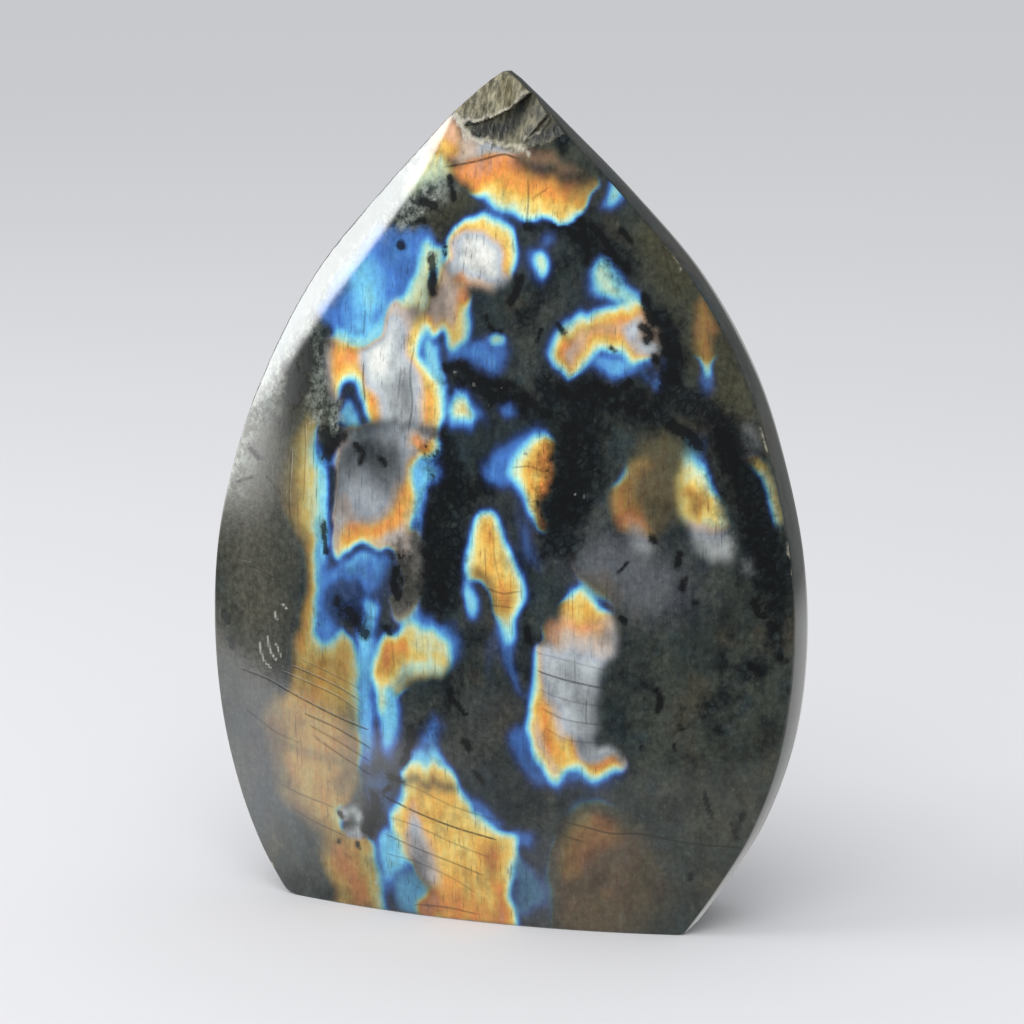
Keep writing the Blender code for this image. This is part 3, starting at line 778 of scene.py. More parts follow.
def draw_crown(face):
    """Gold band and pale rim under the tip, and the cream patch at its left."""
    face.patch([(-5.6, 97.4, -1), (-4.2, 98.3, -0.8), (-1.4, 98.9, -0.6), (1.2, 99.5, -0.6),
                (3, 99.6, -0.6), (4, 98.6, -1), (6.6, 97.6, -1.8), (10.4, 97.6, -2.2), (13.8, 97.2, -1.8),
                (14.8, 95.6, -1.4), (13.2, 94, -1.2), (12, 92.3), (10.6, 91.2), (8, 90.8), (5.6, 90.9, 1),
                (3.4, 91, 1), (1, 91.8, 1), (-1, 93.3, 1), (-2.8, 95.4, -0.8)],
               fringe=0.9, peak=0.62, climb=1.8, glow=0.98)
    face.shift([(-2.6, 97.6), (0.6, 97.8), (3.4, 98)], 2.4, 0.055)
    face.shift([(1.2, 99), (3, 99.2)], 1, 0.06)
    face.shift([(6, 93.2), (10, 92.8)], 1.8, -0.06)
    face.shift([(12.4, 96), (14, 95.4)], 2, -0.04)
    face.shade([(4.4, 97.8), (7, 97.6), (10.4, 97.4), (14, 96.8)], 2.9, 0.76)
    face.shade([(10.6, 95.4), (13, 95.2)], 2, 0.45)
    face.shade([(5.2, 96.4), (5.4, 94.6)], 0.5, 0.3)
    face.patch([(-3.4, 102, -0.5), (-1.4, 101, -0.5), (1.6, 100.3, -0.5), (4.4, 100, -0.5),
                (5.2, 99.2, -0.6), (3.2, 98.9, -0.6), (0.8, 99, -0.6), (-1.6, 98.4, -0.6),
                (-4.4, 98.4, -0.8), (-5.2, 100, -0.8)], fringe=0.5, peak=0.8, climb=0.4, glow=0.8)
    face.shift([(-1, 100), (2.6, 99.7)], 1.2, 0.1)
    face.patch([(4.4, 100.2, -0.6), (6.4, 100, -0.8), (10.4, 99, -1.2), (13, 98), (11, 97.2), (6, 97.6),
                (3.4, 98.8, -0.6)], fringe=-1, peak=0.76, glow=0.22)
    face.patch([(-7.2, 103, -1), (-5.4, 104.2, -0.6), (-4.4, 103.2, -0.6), (-3.6, 101.8, -0.8),
                (-3.4, 100, -1), (-4.4, 98.6, -1.2), (-6.6, 98.4), (-8.4, 99.4, -1.6), (-8.6, 101.4)],
               fringe=-1.4, peak=0.77, glow=0.92)
    face.shift([(-6.6, 100.2), (-4.8, 100)], 1.4, -0.22)
    face.shift([(-7, 99)], 1.2, -0.1)
    face.patch([(-8.4, 99.6, -1.4), (-5.8, 99.4, -1.2), (-4.8, 97.6, -1.2), (-6, 95.6, -1.6),
                (-9, 94.4, -1.8), (-11.6, 93, -1.4), (-11.6, 95.6, -1.6)], peak=0.47, glow=0.86)
    face.patch([(14, 92.6), (15.6, 91.9, 1.1), (17.2, 93, 1.1), (17.7, 95), (16.8, 96.6, 0.9),
                (15.6, 97, 0.8), (15.2, 95.2, 0.8), (14.6, 93.8, 0.9)], peak=0.42, glow=0.8)
    face.patch([(-1.2, 94.2, 0.7), (1.2, 93.4, 0.9), (3.6, 92.4, 0.9), (3.8, 91.2, 1.2), (1.6, 91.4, 1.2),
                (-0.8, 92.6, 1.2), (-1.6, 93.4)], peak=0.2, glow=0.45)


def draw_round_patch(face):
    """Round patch with a nearly white middle, and the cyan spots on its right."""
    face.patch([(-5.3, 88, 0.6), (-4.7, 89.9, 0.7), (-3, 91.6, 0.8), (-0.6, 92.5, 0.9), (1.8, 91.8, 1),
                (3.8, 89.9, 0.9), (4.6, 87.2, 0.9), (4.2, 84.8, 0.8), (2.6, 82.9, -0.9), (-0.2, 82.2, -1.2),
                (-3.4, 82.8, -1), (-4.8, 84.6, -0.8), (-5.2, 86.4, 0.5)],
               fringe=0.85, peak=0.985, climb=1.9, glow=0.96)
    face.shift([(-2.8, 90.2), (-0.6, 90.6), (1.6, 90)], 2.2, -0.22)
    face.shift([(-3.2, 84.2), (-1.6, 83.2), (0.8, 83.2)], 1.7, -0.22)
    face.shift([(2.6, 84.4), (3.2, 87), (2.6, 88.8)], 1.7, -0.16)
    face.shift([(-4, 86.4), (-3.7, 88.4)], 1.4, -0.12)
    face.shade([(1.6, 83.6), (3.4, 84.6)], 1.6, 0.36)
    face.shade([(-4.2, 85.6), (-3.6, 84)], 1, 0.25)
    face.shade([(-2.2, 87.4), (-1.8, 85)], 0.7, 0.14)
    face.patch([(5, 88, 1.2), (6.6, 88, 1.4), (8.6, 87.6, 1.2), (8.9, 85.4), (7.6, 82.9), (6.2, 83.3),
                (5.3, 85.4, 1.2)], fringe=1.1, peak=0.27, glow=0.95)
    face.patch([(6.2, 87), (7.6, 87.7, 0.9), (8.6, 86.4, 0.7), (8.4, 84.6, 0.8), (7.4, 83.3, 0.9),
                (6.3, 84.6)], peak=0.5, glow=0.95)
    face.patch([(6.6, 88.2), (7.8, 89.9), (9.3, 90), (9.3, 88.6), (8, 87.4)], peak=0.22, glow=0.85)
    face.patch([(12.6, 83.4), (13, 86), (14.8, 87.3), (16.6, 86.6), (18, 84.8), (20.4, 82.4, 1),
                (19.4, 80.4, 1), (16.4, 81), (14.2, 81.2), (12.9, 82)], fringe=1.2, peak=0.35, glow=0.6)
    face.patch([(13.2, 84.2), (14.2, 86.3), (16, 85.9), (17.2, 84.2), (19, 83, 0.9), (20, 81.6, 0.8),
                (18.2, 81, 0.9), (16.2, 81.8, 0.9), (14.4, 81.7)], peak=0.475, glow=1)
    face.shift([(17.6, 82.6), (19.4, 81.6)], 1, -0.06, least=0.3)
    face.patch([(17.4, 82.4, 0.8), (19, 82.4, 0.8), (20.3, 81.2), (19.6, 80), (17.8, 80.4, 0.8)],
               fringe=0.7, peak=0.55, glow=0.85)


def draw_branched_patch(face):
    """Branching pink and orange patch at the upper right, mottled with brown, with blue under it."""
    face.patch([(7.9, 75.2, 1.1), (8.6, 77.6, 1.2), (9.9, 79.6, 1.3), (12, 80.8, 1.3), (14.6, 81.1, 1.1),
                (17, 81.6, 1), (19, 82, 0.8), (20.6, 80.9, -0.6), (20.8, 79.6, -0.6), (21.9, 78.6, -0.5),
                (22.3, 76.6, -0.6), (21.7, 75.2, -0.6), (20.6, 73.6, 0.6), (19, 73.9, 0.7),
                (17.6, 74.9, 0.9), (15.6, 75, 0.9), (14.2, 74, 0.8), (13, 72.2, 0.7), (11.4, 71.6, 0.6),
                (10, 72.6, 0.8), (8.6, 74, 0.9)], fringe=0.75, peak=0.78, climb=0.8, glow=0.86)
    face.shift([(11.4, 79), (14.4, 79.6), (18.8, 80.2)], 1.9, -0.15)
    face.shift([(14.6, 76.6), (18.4, 76.8), (19.6, 75.6)], 1.7, -0.14)
    face.shift([(10.6, 74.6), (10.4, 76.6)], 1.8, 0.05)
    face.shift([(19, 79.4), (18.9, 77.4), (20.2, 75.8), (21.6, 75.8)], 1.2, 0.2)
    face.shade([(20.8, 78.4), (21, 77.4)], 1.5, 1)
    face.shade([(19.6, 77), (21.2, 75.9)], 0.7, 0.45)
    face.shade([(10.2, 78.4), (11.2, 76.8)], 0.9, 0.72)
    face.shade([(11.6, 75.8), (10.6, 73.8)], 1.3, 0.36)
    face.shade([(12.6, 74.8)], 0.9, 0.5)
    face.shade([(13.8, 78.2), (16.4, 78.2)], 0.7, 0.28)
    face.shade([(9, 76), (9.6, 74.4)], 0.8, 0.3)
    face.shade([(12.4, 78.2)], 0.8, 0.4)
    face.patch([(13.4, 73.8, 0.8), (15, 75.2, 0.6), (17.6, 75.3, 0.6), (19.6, 74.4, 0.7), (20.3, 72.8),
                (18, 72), (15.2, 72.1)], fringe=1.1, peak=0.29, glow=0.97)
    for x, z, size in ((20.9, 72.1, 1), (22.2, 71.7, 1.4), (23, 74.6, 0.6), (23.6, 73.4, 0.6),
                       (21.2, 73.8, 0.9), (22.4, 72.9, 0.7), (20.2, 73, 0.8)):
        face.patch([(x - size, z), (x, z + 0.8 * size), (x + size, z), (x, z - 0.8 * size)],
                   fringe=0.7 * size, peak=0.4, glow=0.62)


def draw_muted_arcs(face):
    """Brown and cream arcs right of the middle, and the haze between and under them."""
    face.patch([(18.6, 62.4, -2.6), (22, 67), (26.4, 65), (26.8, 58, -3.4), (24.6, 52.8, -3),
                (21, 53.4, -2.4), (18.4, 57, -2)], fringe=-4, peak=0.55, glow=0.09)
    face.patch([(22.6, 63, -1.6), (20, 62.4, -1.2), (17.9, 60.4, 0.6), (16.9, 57.6, -0.9), (17.2, 54.4, -1),
                (18.8, 52.4, -1), (21.2, 51.8, -1.4), (22.9, 53.6, -1.4), (21.6, 55.6, -1.4),
                (20.8, 57.6, -1.4), (21.4, 59.6, -1.6), (23.2, 61.2, -1.8)],
               fringe=0.8, peak=0.585, climb=0.8, glow=0.38)
    face.shift([(18.8, 54.8), (20.8, 53.8)], 1.8, 0.15)
    face.shade([(18.6, 54.8), (20.6, 53.8)], 1.6, -0.25)
    face.shade([(19.6, 60.6), (18.4, 58.6)], 1.1, 0.25)
    face.patch([(18.4, 53.6, -1.2), (20, 54.4, -1.2), (22.4, 53.2, -1.4), (23, 51), (21.6, 49.6),
                (19.4, 50.2, -1.4)], fringe=-1.6, peak=0.93, glow=0.42)
    face.patch([(24.4, 59.6), (25.2, 62.2, 1.3), (26.9, 63.2, 1.6), (28.8, 61.8, 1.5), (29.8, 59.6, 1.1),
                (30.6, 57, -1), (31.4, 54.4), (31, 52.8, -1.4), (28.4, 52.4, -1.6), (26, 53, -1.5),
                (25, 55.4), (24.6, 57.6)], fringe=-1.2, peak=0.48, glow=0.95)
    face.shift([(27, 58), (27.8, 56.8), (27.2, 55.6)], 1.7, 0.13)
    face.shift([(29.2, 57.4), (29.8, 55.6)], 1, 0.05)
    face.shade([(27, 57.6), (27.8, 56.6), (27.2, 55.6)], 1.1, 0.7)
    face.shade([(25.8, 59), (25.8, 56.4)], 0.7, 0.4)
    face.shade([(28.4, 56.4), (28.8, 58.4)], 0.6, 0.4)
    face.patch([(26, 54.4, -1), (28.6, 55, -1.2), (31, 54.6, -1.2), (32.6, 52.6, -1.4), (32.4, 50, -1.6),
                (29.8, 49.2), (27.2, 50.4)], fringe=-1.8, peak=0.95, glow=0.5)
    face.shade([(27.4, 52.4), (29.4, 51)], 1, 0.4)
    face.shade([(30.2, 53.6), (31.4, 52.4)], 0.8, 0.3)
    face.patch([(11.4, 50, -3), (16.6, 53.4), (22.6, 52.4), (27, 48, -4), (25, 42, -4), (19.6, 41),
                (15.8, 44.6, -2.4), (12.6, 47, -2.4)], fringe=-3.4, peak=0.9, glow=0.1)
    face.patch([(12.4, 48.4, 1.4), (14.4, 50, 1.6), (18, 50.6, 1.6), (18.4, 47.2, 1.4), (17.6, 44.6, 1.2),
                (16.2, 44), (14.6, 46.2)], fringe=0.8, peak=0.22, glow=0.34)
    face.patch([(25, 63, 1.6), (26.6, 65.6, 1.8), (28.8, 64.4, 1.6), (28.8, 61.8), (26.2, 61.8)],
               peak=0.36, glow=0.22)


def draw_right_rim(face):
    """Small lit spots close to the right rim."""
    face.patch([(25.8, 81.4, -2), (28, 82.6), (29.8, 79), (29.2, 76, -1.2), (28.7, 74, -0.8),
                (27.2, 74, -0.8), (26.2, 76.8, -1.6)], fringe=-1.8, glow=0.32)
    face.shade([(28, 78.6), (28.8, 77.4)], 0.9, 0.5)
    face.patch([(27.2, 73.8, 0.6), (27.9, 74.8), (28.9, 74), (28.9, 72.8), (27.9, 72.6)],
               fringe=0.5, peak=0.53, climb=0.5, glow=0.72)
    face.patch([(26.8, 72.8, 0.6), (28.2, 73.4, 0.6), (29.6, 72.4, 0.9), (29.4, 70.6, 1.1),
                (28.2, 69.8, 1.2), (27.1, 70.8)], peak=0.27, glow=0.62)
    face.patch([(33.4, 62.8, -0.8), (34.8, 62.4, -0.5), (36, 60, -0.5), (37.2, 57.2, -0.5),
                (38.1, 54.8, -0.5), (37.3, 53.6, -0.5), (36.4, 54.4, 0.4), (35.6, 57), (34.8, 59.6)],
               fringe=0.5, peak=0.53, climb=0.8, glow=0.5)
    face.shift([(34.6, 61.6), (34.4, 60.4)], 1.3, -0.12)
    face.patch([(31.6, 66.6), (33.6, 67.4), (35.4, 64.8, -1.4), (35, 62.4, -1.2), (33.4, 61.8, -1.4),
                (32.4, 64)], fringe=-1.8, peak=0.93, glow=0.18)
    face.patch([(33, 50.6, -0.5), (34.6, 50.4, -0.5), (34.6, 48.6, -0.5), (33.2, 48.6, -0.5)],
               fringe=0.5, peak=0.92, climb=0.3, glow=0.3)


def draw_middle(face):
    """The small lit patches in the dark middle of the face."""
    face.patch([(-5.2, 75, 0.8), (-3.4, 75.6, 0.6), (-1.2, 76, 0.6), (0.6, 76.4, 0.9), (3, 76.8),
                (3.9, 75.4, 1.2), (3.4, 73, 1.3), (1.8, 71.6, 1.3), (-0.6, 71.6, 1.2), (-2.2, 73, 1.2),
                (-4.2, 73.4)], peak=0.255, glow=0.86)
    face.shade([(-1.4, 74.6), (-0.6, 73)], 1, 0.12)
    face.patch([(0.4, 76.6, 0.5), (1.4, 77.7), (3.4, 77), (3.4, 76), (1.6, 75.5)],
               fringe=0.6, peak=0.53, climb=0.6, glow=0.58)
    face.patch([(-8.3, 76, 0.6), (-6.6, 76.6, 0.7), (-5.2, 75.8, 0.9), (-4.9, 73.4, 1.1), (-4.2, 71.2, 1.1),
                (-4, 68.8, 1.2), (-5, 66.6, 0.7), (-5.6, 70), (-7.4, 72.4)],
               fringe=0.5, peak=0.34, glow=0.88)
    face.shade([(-4.8, 75), (-4.6, 72.8)], 0.8, 0.5)
    face.patch([(-5.2, 66.6, 1.4), (-4.6, 69.4), (-2.8, 70.6), (-0.8, 69.6, 1.3), (0.6, 67.8, 1.4),
                (1.4, 66.2, 1.3), (-0.4, 65.2), (-3.4, 64.8)], fringe=1.2, peak=0.3, glow=0.95)
    face.patch([(-4.5, 67, 1.2), (-3.9, 68.7), (-2.7, 69.6, 0.9), (-1.4, 69, 0.9), (-0.4, 67.6, 1.2),
                (-0.6, 66.3), (-2.2, 65.8, 0.9), (-3.8, 65.9, 0.9)], peak=0.55, climb=0.8, glow=0.97)
    face.patch([(2, 68, 1), (3.2, 69.4), (4.8, 69.1), (5.5, 67.7), (4.2, 66.8), (2.8, 67)],
               fringe=0.9, peak=0.25, glow=0.8)
    face.patch([(-9, 60, 0.5), (-7.2, 61.2, 0.6), (-5.4, 60.6, 0.8), (-4.4, 60, 1.1), (-4.6, 58, 1.2),
                (-6.4, 56.8, 1.4), (-7, 54.2, 1.4), (-7.4, 51.8, 1.2), (-8.6, 52.2, 0.6), (-8.6, 56, 0.5)],
               peak=0.315, glow=1)
    # centre patch, blue on its left and orange on its right
    face.patch([(-0.2, 58.8), (0.6, 61.4, 1.4), (2.2, 63.7, 1.4), (4.4, 65.2), (6.6, 66.6, 1),
                (8.6, 66.6, 1), (9.6, 64, -0.6), (7.8, 57.6, -0.6), (8, 54.6, 1), (6.8, 53.4), (5.6, 55.4),
                (5, 57.4), (2.6, 57.2, 1.3)], fringe=1.2, peak=0.26, glow=0.97)
    face.patch([(3, 59.6, 2), (3.4, 62.2, 2), (4.8, 64.2, 1.8), (6.4, 65.6, 1.2), (8.2, 66, 0.9),
                (9.4, 64.8, -0.5), (9.4, 62.4, -0.5), (9.8, 60.6, -0.6), (8.9, 58.2, -0.6), (8, 57, -0.6),
                (7.6, 55.2, -0.6), (6.8, 54.2, 0.9), (5.8, 55.6, 1.2), (4.6, 57.4, 1.8)],
               fringe=1.5, peak=0.64, climb=1.6, glow=0.96)
    face.shift([(6.8, 57.4), (7.2, 55.4)], 1.2, -0.12)
    face.shift([(5.8, 60.2), (8.6, 60.2)], 0.9, -0.07)
    face.shade([(9.2, 60.6), (9.4, 62.4)], 0.9, 0.3)
    face.patch([(4.8, 57, 0.8), (6, 55, 0.9), (7.4, 53.6), (7.6, 51, 1.1), (9, 48.4, 1.1), (8.6, 47.2),
                (6.6, 48.6, 1.2), (5.2, 50.6, 1.2), (4.8, 53.6, 1.1)], peak=0.23, glow=0.68)
    face.patch([(6.8, 55.4, -0.7), (8, 56.4), (9, 54.4), (8.8, 52.4), (7.6, 53, -0.7)],
               fringe=-0.8, peak=0.72, glow=0.28)


def draw_leaning_gold(face):
    """Leaning gold patch in the middle, with its blue tail."""
    face.patch([(-2, 49.6, 1.1), (-1.5, 52.2, 1.1), (-0.4, 54.2, 1.1), (0.9, 55.2, 1.1), (2.2, 55, 1.1),
                (3.3, 53.4, 1.1), (4.1, 51.2, 1.1), (5.3, 49.2, 1.2), (6.5, 47, 1.3), (6.9, 44.8, 1.2),
                (6, 42.4, 0.9), (5.5, 40.4, 0.9), (5.1, 38.4), (4.3, 37), (3.1, 37.4, 0.9),
                (2.5, 39.8, 0.9), (2.2, 42, -0.6), (1.7, 44, -0.9), (0.6, 45, -1.2), (-0.8, 45.4, -1),
                (-2, 46.6, 1.1)], peak=0.565, climb=1.2, glow=0.96)
    face.patch([(-2.3, 47.4), (-1.2, 46), (-0.1, 44.6, 1.2), (0.6, 42.6, 1.2), (0.2, 40.6, 1.2),
                (-1, 40.2, 1.1), (-1.9, 42, 0.9), (-2.4, 44.6, 0.9)], peak=0.37, glow=0.85)
    face.shift([(1, 53.6), (1.8, 51.6)], 1.6, 0.05)
    face.shift([(3.2, 45.2), (3.9, 42.4)], 1.3, 0.06)
    face.shift([(5.6, 46.4), (5.6, 44)], 1.1, -0.14)
    face.shift([(3.6, 39.6), (4.2, 37.6)], 1.4, -0.16, least=0.4)
    face.shade([(-0.4, 46.8), (1.2, 46.2), (1.6, 44.2), (1.7, 42.4)], 1.2, 0.85)
    face.shade([(4, 43.8), (3.5, 41)], 1.6, 0.52)
    face.shade([(1.8, 44.6), (5, 44.6)], 0.5, 0.25)
    face.patch([(2, 39.8, 0.8), (3.8, 40.2, 0.7), (5.2, 38.8, 0.9), (5.2, 36), (5.6, 33.4, 0.9),
                (6.8, 31, 0.9), (5.4, 30.6, 0.9), (4.2, 32.6), (2.8, 35.6)], peak=0.25, glow=0.72)
    face.patch([(-4.2, 40.2), (-2.4, 41), (-1.6, 36.4, -1.4), (-3, 32.4, -1.4), (-4.4, 35.8)],
               fringe=-1.2, peak=0.2, glow=0.32)
    face.patch([(1.6, 41, -0.8), (2.6, 39.4, -0.8), (2.4, 35), (1.2, 32, -1.4), (0.6, 36.6)],
               fringe=-1.2, peak=0.2, glow=0.35)


def draw_long_patch(face):
    """Long pale patch right of the middle, pink at its head and orange at its foot."""
    face.patch([(10.2, 41.6, -1.1), (10.9, 43.8, -0.9), (11.4, 44.8, 1.1), (12.4, 46.4, 1.2),
                (13.8, 46.6, 1.2), (15.4, 45.2, 1.2), (16.6, 43.2), (17.7, 41.2, -0.8), (18.6, 39.4, -1.2),
                (18.2, 37.2, -1.2), (16.6, 35.6, -1.2), (15.8, 32, -1.6), (15.8, 28, -1.6),
                (15.4, 25.4, -0.8), (16.6, 25.4, -0.6), (18.2, 24.9, -0.7), (19.2, 23.6, -0.8),
                (18.6, 22.2, 0.7), (17.4, 21.2, 0.9), (16, 20.1), (14.8, 19.8), (13.6, 20.4, 1.1),
                (12.4, 21.2, 1.1), (11.4, 20.4, 1.1), (10.2, 19.2, 1.2), (8.6, 19.8, 1.4), (7, 21.8, 1.5),
                (6.1, 24.6, 1.5), (6.1, 28, 1.3), (6.5, 31, 1.1), (6.9, 34, 0.9), (7.2, 37.2, 0.8),
                (7.7, 39, 0.8), (8.6, 38, -0.6), (9.2, 39.4, -0.8)], peak=0.92, climb=0.5)
    face.shift([(11.4, 44.4), (14.8, 44)], 5.6, -0.34)
    face.shift([(13.8, 43.4)], 3.4, -0.1)
    face.shift([(9.6, 39.6), (16.4, 39)], 4, -0.11)
    face.shade([(12, 34.4), (13.6, 31.6), (14.4, 26.4)], 3.4, 0.5)
    face.shift([(8, 35), (7.8, 31.4)], 1.3, -0.2)
    face.shift([(8.4, 29.6), (9.2, 26.6), (10.4, 23.4)], 3, -0.3)
    face.shift([(11.6, 25), (12.2, 23)], 2, -0.22)
    face.shift([(13.6, 22), (15.4, 22.2), (17.6, 23.6)], 1.4, -0.24)
    face.shade([(16.8, 39.6), (18.2, 38.2)], 1.6, 0.42)
    face.shade([(16.2, 35), (16.4, 30), (16.2, 26.6)], 1.5, 0.5)
    face.shade([(13.6, 25.2), (14.6, 23)], 1.9, 0.62)
    face.shade([(16.2, 23.8), (18.6, 24)], 1.3, 0.5)
    face.shade([(12.2, 38.6), (14.2, 37.8)], 1.4, 0.15)
    face.shade([(9.4, 31), (11.6, 30.6)], 1.4, 0.15)
    face.patch([(3.6, 26.2), (4.8, 27.4), (6.4, 27, 0.8), (6.8, 23.4, 0.8), (8.8, 20.2, 0.9), (8.2, 18.6),
                (6.4, 19.6, 1.2), (4.8, 21.8, 1.2), (3.8, 24.2, 1.2)], fringe=1.1, peak=0.235, glow=0.85)
    face.patch([(9.2, 20.4, 0.6), (10.2, 18.4), (11.8, 19.6), (13.6, 19.4), (15.2, 18.8), (17.2, 20.2),
                (19.2, 22.2), (18.8, 23.4, 0.6), (15.4, 21, 0.5), (12.4, 22, 0.5)], peak=0.24, glow=0.8)
    face.patch([(9.8, 41.4), (8.8, 39.8), (9.2, 38), (11, 38), (11, 41)], fringe=-0.8, peak=0.74, glow=0.5)


def draw_ore(face):
    """Black ore grains, roughly as large as they are in the stone."""
    for line, radius in (
            ([(-5.2, 96.3), (-4.9, 95), (-4.4, 93.6)], 0.24), ([(-8.6, 93.2), (-7.2, 92.6)], 0.42),
            ([(-9.8, 90.6), (-8.4, 90.9)], 0.34), ([(-11.5, 87.7), (-11.2, 87.4)], 0.34),
            ([(-7.1, 86.4), (-7, 84), (-6.8, 81.9)], 0.36), ([(-5.5, 87.8), (-5.3, 86.8)], 0.2),
            ([(-25, 74.6), (-24.2, 73), (-24.4, 71.4)], 0.5), ([(-27.9, 71), (-26.6, 70.6)], 0.5),
            ([(-26.2, 70), (-26.9, 68), (-26.4, 67)], 0.7), ([(-25.2, 69.6), (-24.8, 68.4)], 0.4),
            ([(-21.6, 63.2), (-20.8, 61.8), (-21.6, 60.2)], 0.6), ([(-19.8, 62.2), (-19, 63)], 0.4),
            ([(-17.2, 62), (-16, 61), (-16.4, 59.8)], 0.3), ([(-13.6, 60.6), (-12.8, 59.8)], 0.24),
            ([(5.2, 90.7), (6, 90.4)], 0.4), ([(8.4, 90.7), (10, 90.5), (12, 91.2)], 0.22),
            ([(12.2, 91.4), (12.6, 89.6), (13.1, 88), (12.9, 86.4)], 0.42),
            ([(10.4, 90.2), (12, 89.2)], 0.3),
            ([(13.4, 91), (14.8, 89.8), (15.6, 88.4), (16.6, 87), (18.2, 85.7)], 0.34),
            ([(20.4, 82.2), (21, 80.4), (21.8, 79.2)], 0.42), ([(17.2, 90.4), (18.2, 89.2)], 0.3),
            ([(4.7, 84.2), (4.2, 82.4), (3.5, 81.2)], 0.36),
            ([(0.4, 79.3), (1.2, 77.8), (2.5, 77.5)], 0.18),
            ([(22.8, 77.4), (23.6, 75.8), (24.6, 75.2)], 0.6), ([(23, 72.6), (24.4, 72.2)], 0.5),
            ([(21.9, 75), (22.2, 74.2)], 0.3), ([(16.4, 76), (17, 75.6)], 0.18),
            ([(20.2, 78.7), (21.2, 77.8), (20.9, 77)], 0.34), ([(9.6, 78.6), (10.6, 77.6)], 0.2),
            ([(-4.8, 72.6), (-2.4, 72.9), (-0.6, 71.4), (1.8, 70.8), (4, 70.9)], 0.42),
            ([(5.6, 69.6), (7.4, 68.2), (8.8, 67.4)], 0.5), ([(10.4, 70.6), (12.2, 69.6), (13.4, 71)], 0.5),
            ([(14.8, 71.2), (16.8, 70.4), (18.6, 71.4)], 0.5), ([(-1.4, 58.8), (-1.1, 56.4)], 0.2),
            ([(25.6, 50.6), (25.4, 48.8)], 0.3), ([(26.2, 47.2), (25.9, 46)], 0.26), ([(27.6, 44.2)], 0.3),
            ([(22, 52.6), (22.4, 51.8)], 0.22), ([(34.4, 44.4), (35.2, 43), (35.9, 42.6)], 0.42),
            ([(36.4, 41.6), (37.4, 40.8)], 0.34), ([(-21.8, 51.4), (-21.6, 49.6), (-21.4, 47.8)], 0.28),
            ([(-19.6, 41.6), (-19.9, 41.2)], 0.4), ([(-18, 40.2), (-16.6, 39), (-15.8, 37.6)], 0.5),
            ([(-11.2, 46.5), (-11.6, 44.8), (-11, 42.6)], 0.34), ([(-12.6, 38.6), (-12.2, 38)], 0.3),
            ([(-7.6, 49.4), (-6.6, 48.4), (-6.9, 46)], 0.5),
            ([(-9.2, 25.4), (-9.9, 22.4), (-10.6, 20.6)], 0.42), ([(-12.6, 18.9), (-10.8, 18.2)], 0.36),
            ([(-14.7, 15.8), (-14.9, 14), (-15.8, 12.4), (-16.3, 11)], 0.62),
            ([(-13.6, 16.4), (-12.8, 17.2)], 0.3), ([(-20.2, 12.8), (-19.7, 12.4)], 0.26),
            ([(-17.6, 8.8), (-17.4, 8.2)], 0.22), ([(-20.5, 8.8)], 0.2),
            ([(-4.2, 31.6), (-3.2, 30), (-1.7, 28.2)], 0.2), ([(6.5, 39.8), (6.8, 38.6)], 0.4),
            ([(22.9, 32.8), (23.3, 31.6), (23, 30.2)], 0.28), ([(25.6, 28.1), (26.3, 27.8)], 0.2),
            ([(30.4, 28), (30.7, 27.4)], 0.28), ([(21, 25.2)], 0.22), ([(25, 25.8), (25.1, 25)], 0.16),
            ([(28.8, 19.4), (29.1, 17.8), (29.6, 16.2)], 0.2), ([(33.4, 16.6), (33.2, 16)], 0.22),
            ([(32.4, 14.4), (32.6, 13.4)], 0.2), ([(34.4, 36), (35.6, 35.4)], 0.38),
            ([(37.6, 37.4), (38.2, 36.8)], 0.3), ([(18.4, 42), (18.9, 41.4)], 0.24),
            ([(26.9, 8.6), (27, 7.8)], 0.2), ([(18, 47.7), (19.2, 49.2)], 0.14),
            ([(-33.4, 60.3), (-32.4, 59.4), (-31.4, 58.9)], 0.24),
            ([(-35.2, 55.5), (-34, 55.8), (-32.9, 56.3)], 0.18), ([(-37.6, 37.4), (-37, 36.6)], 0.34),
            ([(-36.8, 34), (-36.4, 33.2)], 0.34), ([(-0.6, 20.6), (0.4, 19.4)], 0.3),
            ([(24.2, 66.4), (26.2, 65.4), (27.6, 64)], 0.5), ([(30, 66), (31.2, 63.6), (31.8, 61)], 0.6),
            ([(7.6, 77.8), (7.2, 76.6)], 0.2), ([(-2, 24.8), (-1.4, 23.6)], 0.26),
            ([(-5.2, 44.2), (-4.4, 42.8)], 0.3)):
        face.ore(line, radius)
    # broad zones, where the ore is too fine and too dense to make out
    for line, radius, strength in (
            ([(-5.8, 62), (-4.2, 57.6), (-6.4, 53), (-4.4, 48.6), (-6, 44)], 1.7, 0.56),
            ([(12, 66), (12, 60), (10.5, 56)], 2.4, 0.62), ([(11, 70.5), (17, 69), (21, 68)], 1.8, 0.6),
            ([(22, 69), (24.4, 75), (23.4, 79)], 1.2, 0.58),
            ([(30, 66), (32.6, 58), (35.8, 50), (37, 44)], 2, 0.6),
            ([(-4, 71.5), (3, 70), (8.6, 67)], 1.2, 0.54), ([(-18.4, 40.8), (-16.4, 39.2)], 1.2, 0.5),
            ([(-9, 91), (-6, 91.6)], 1.2, 0.46), ([(-26, 70), (-24.4, 73)], 1.4, 0.5),
            ([(0, 57), (-1, 56)], 1.4, 0.5), ([(13, 91), (14.6, 88), (18, 86)], 1.4, 0.5),
            ([(-10.2, 49), (-10.6, 43)], 1.2, 0.5), ([(2, 22), (5, 16)], 1.6, 0.42),
            ([(-2, 33), (-6, 26)], 1.8, 0.3)):
        face.ore(line, radius, strength)


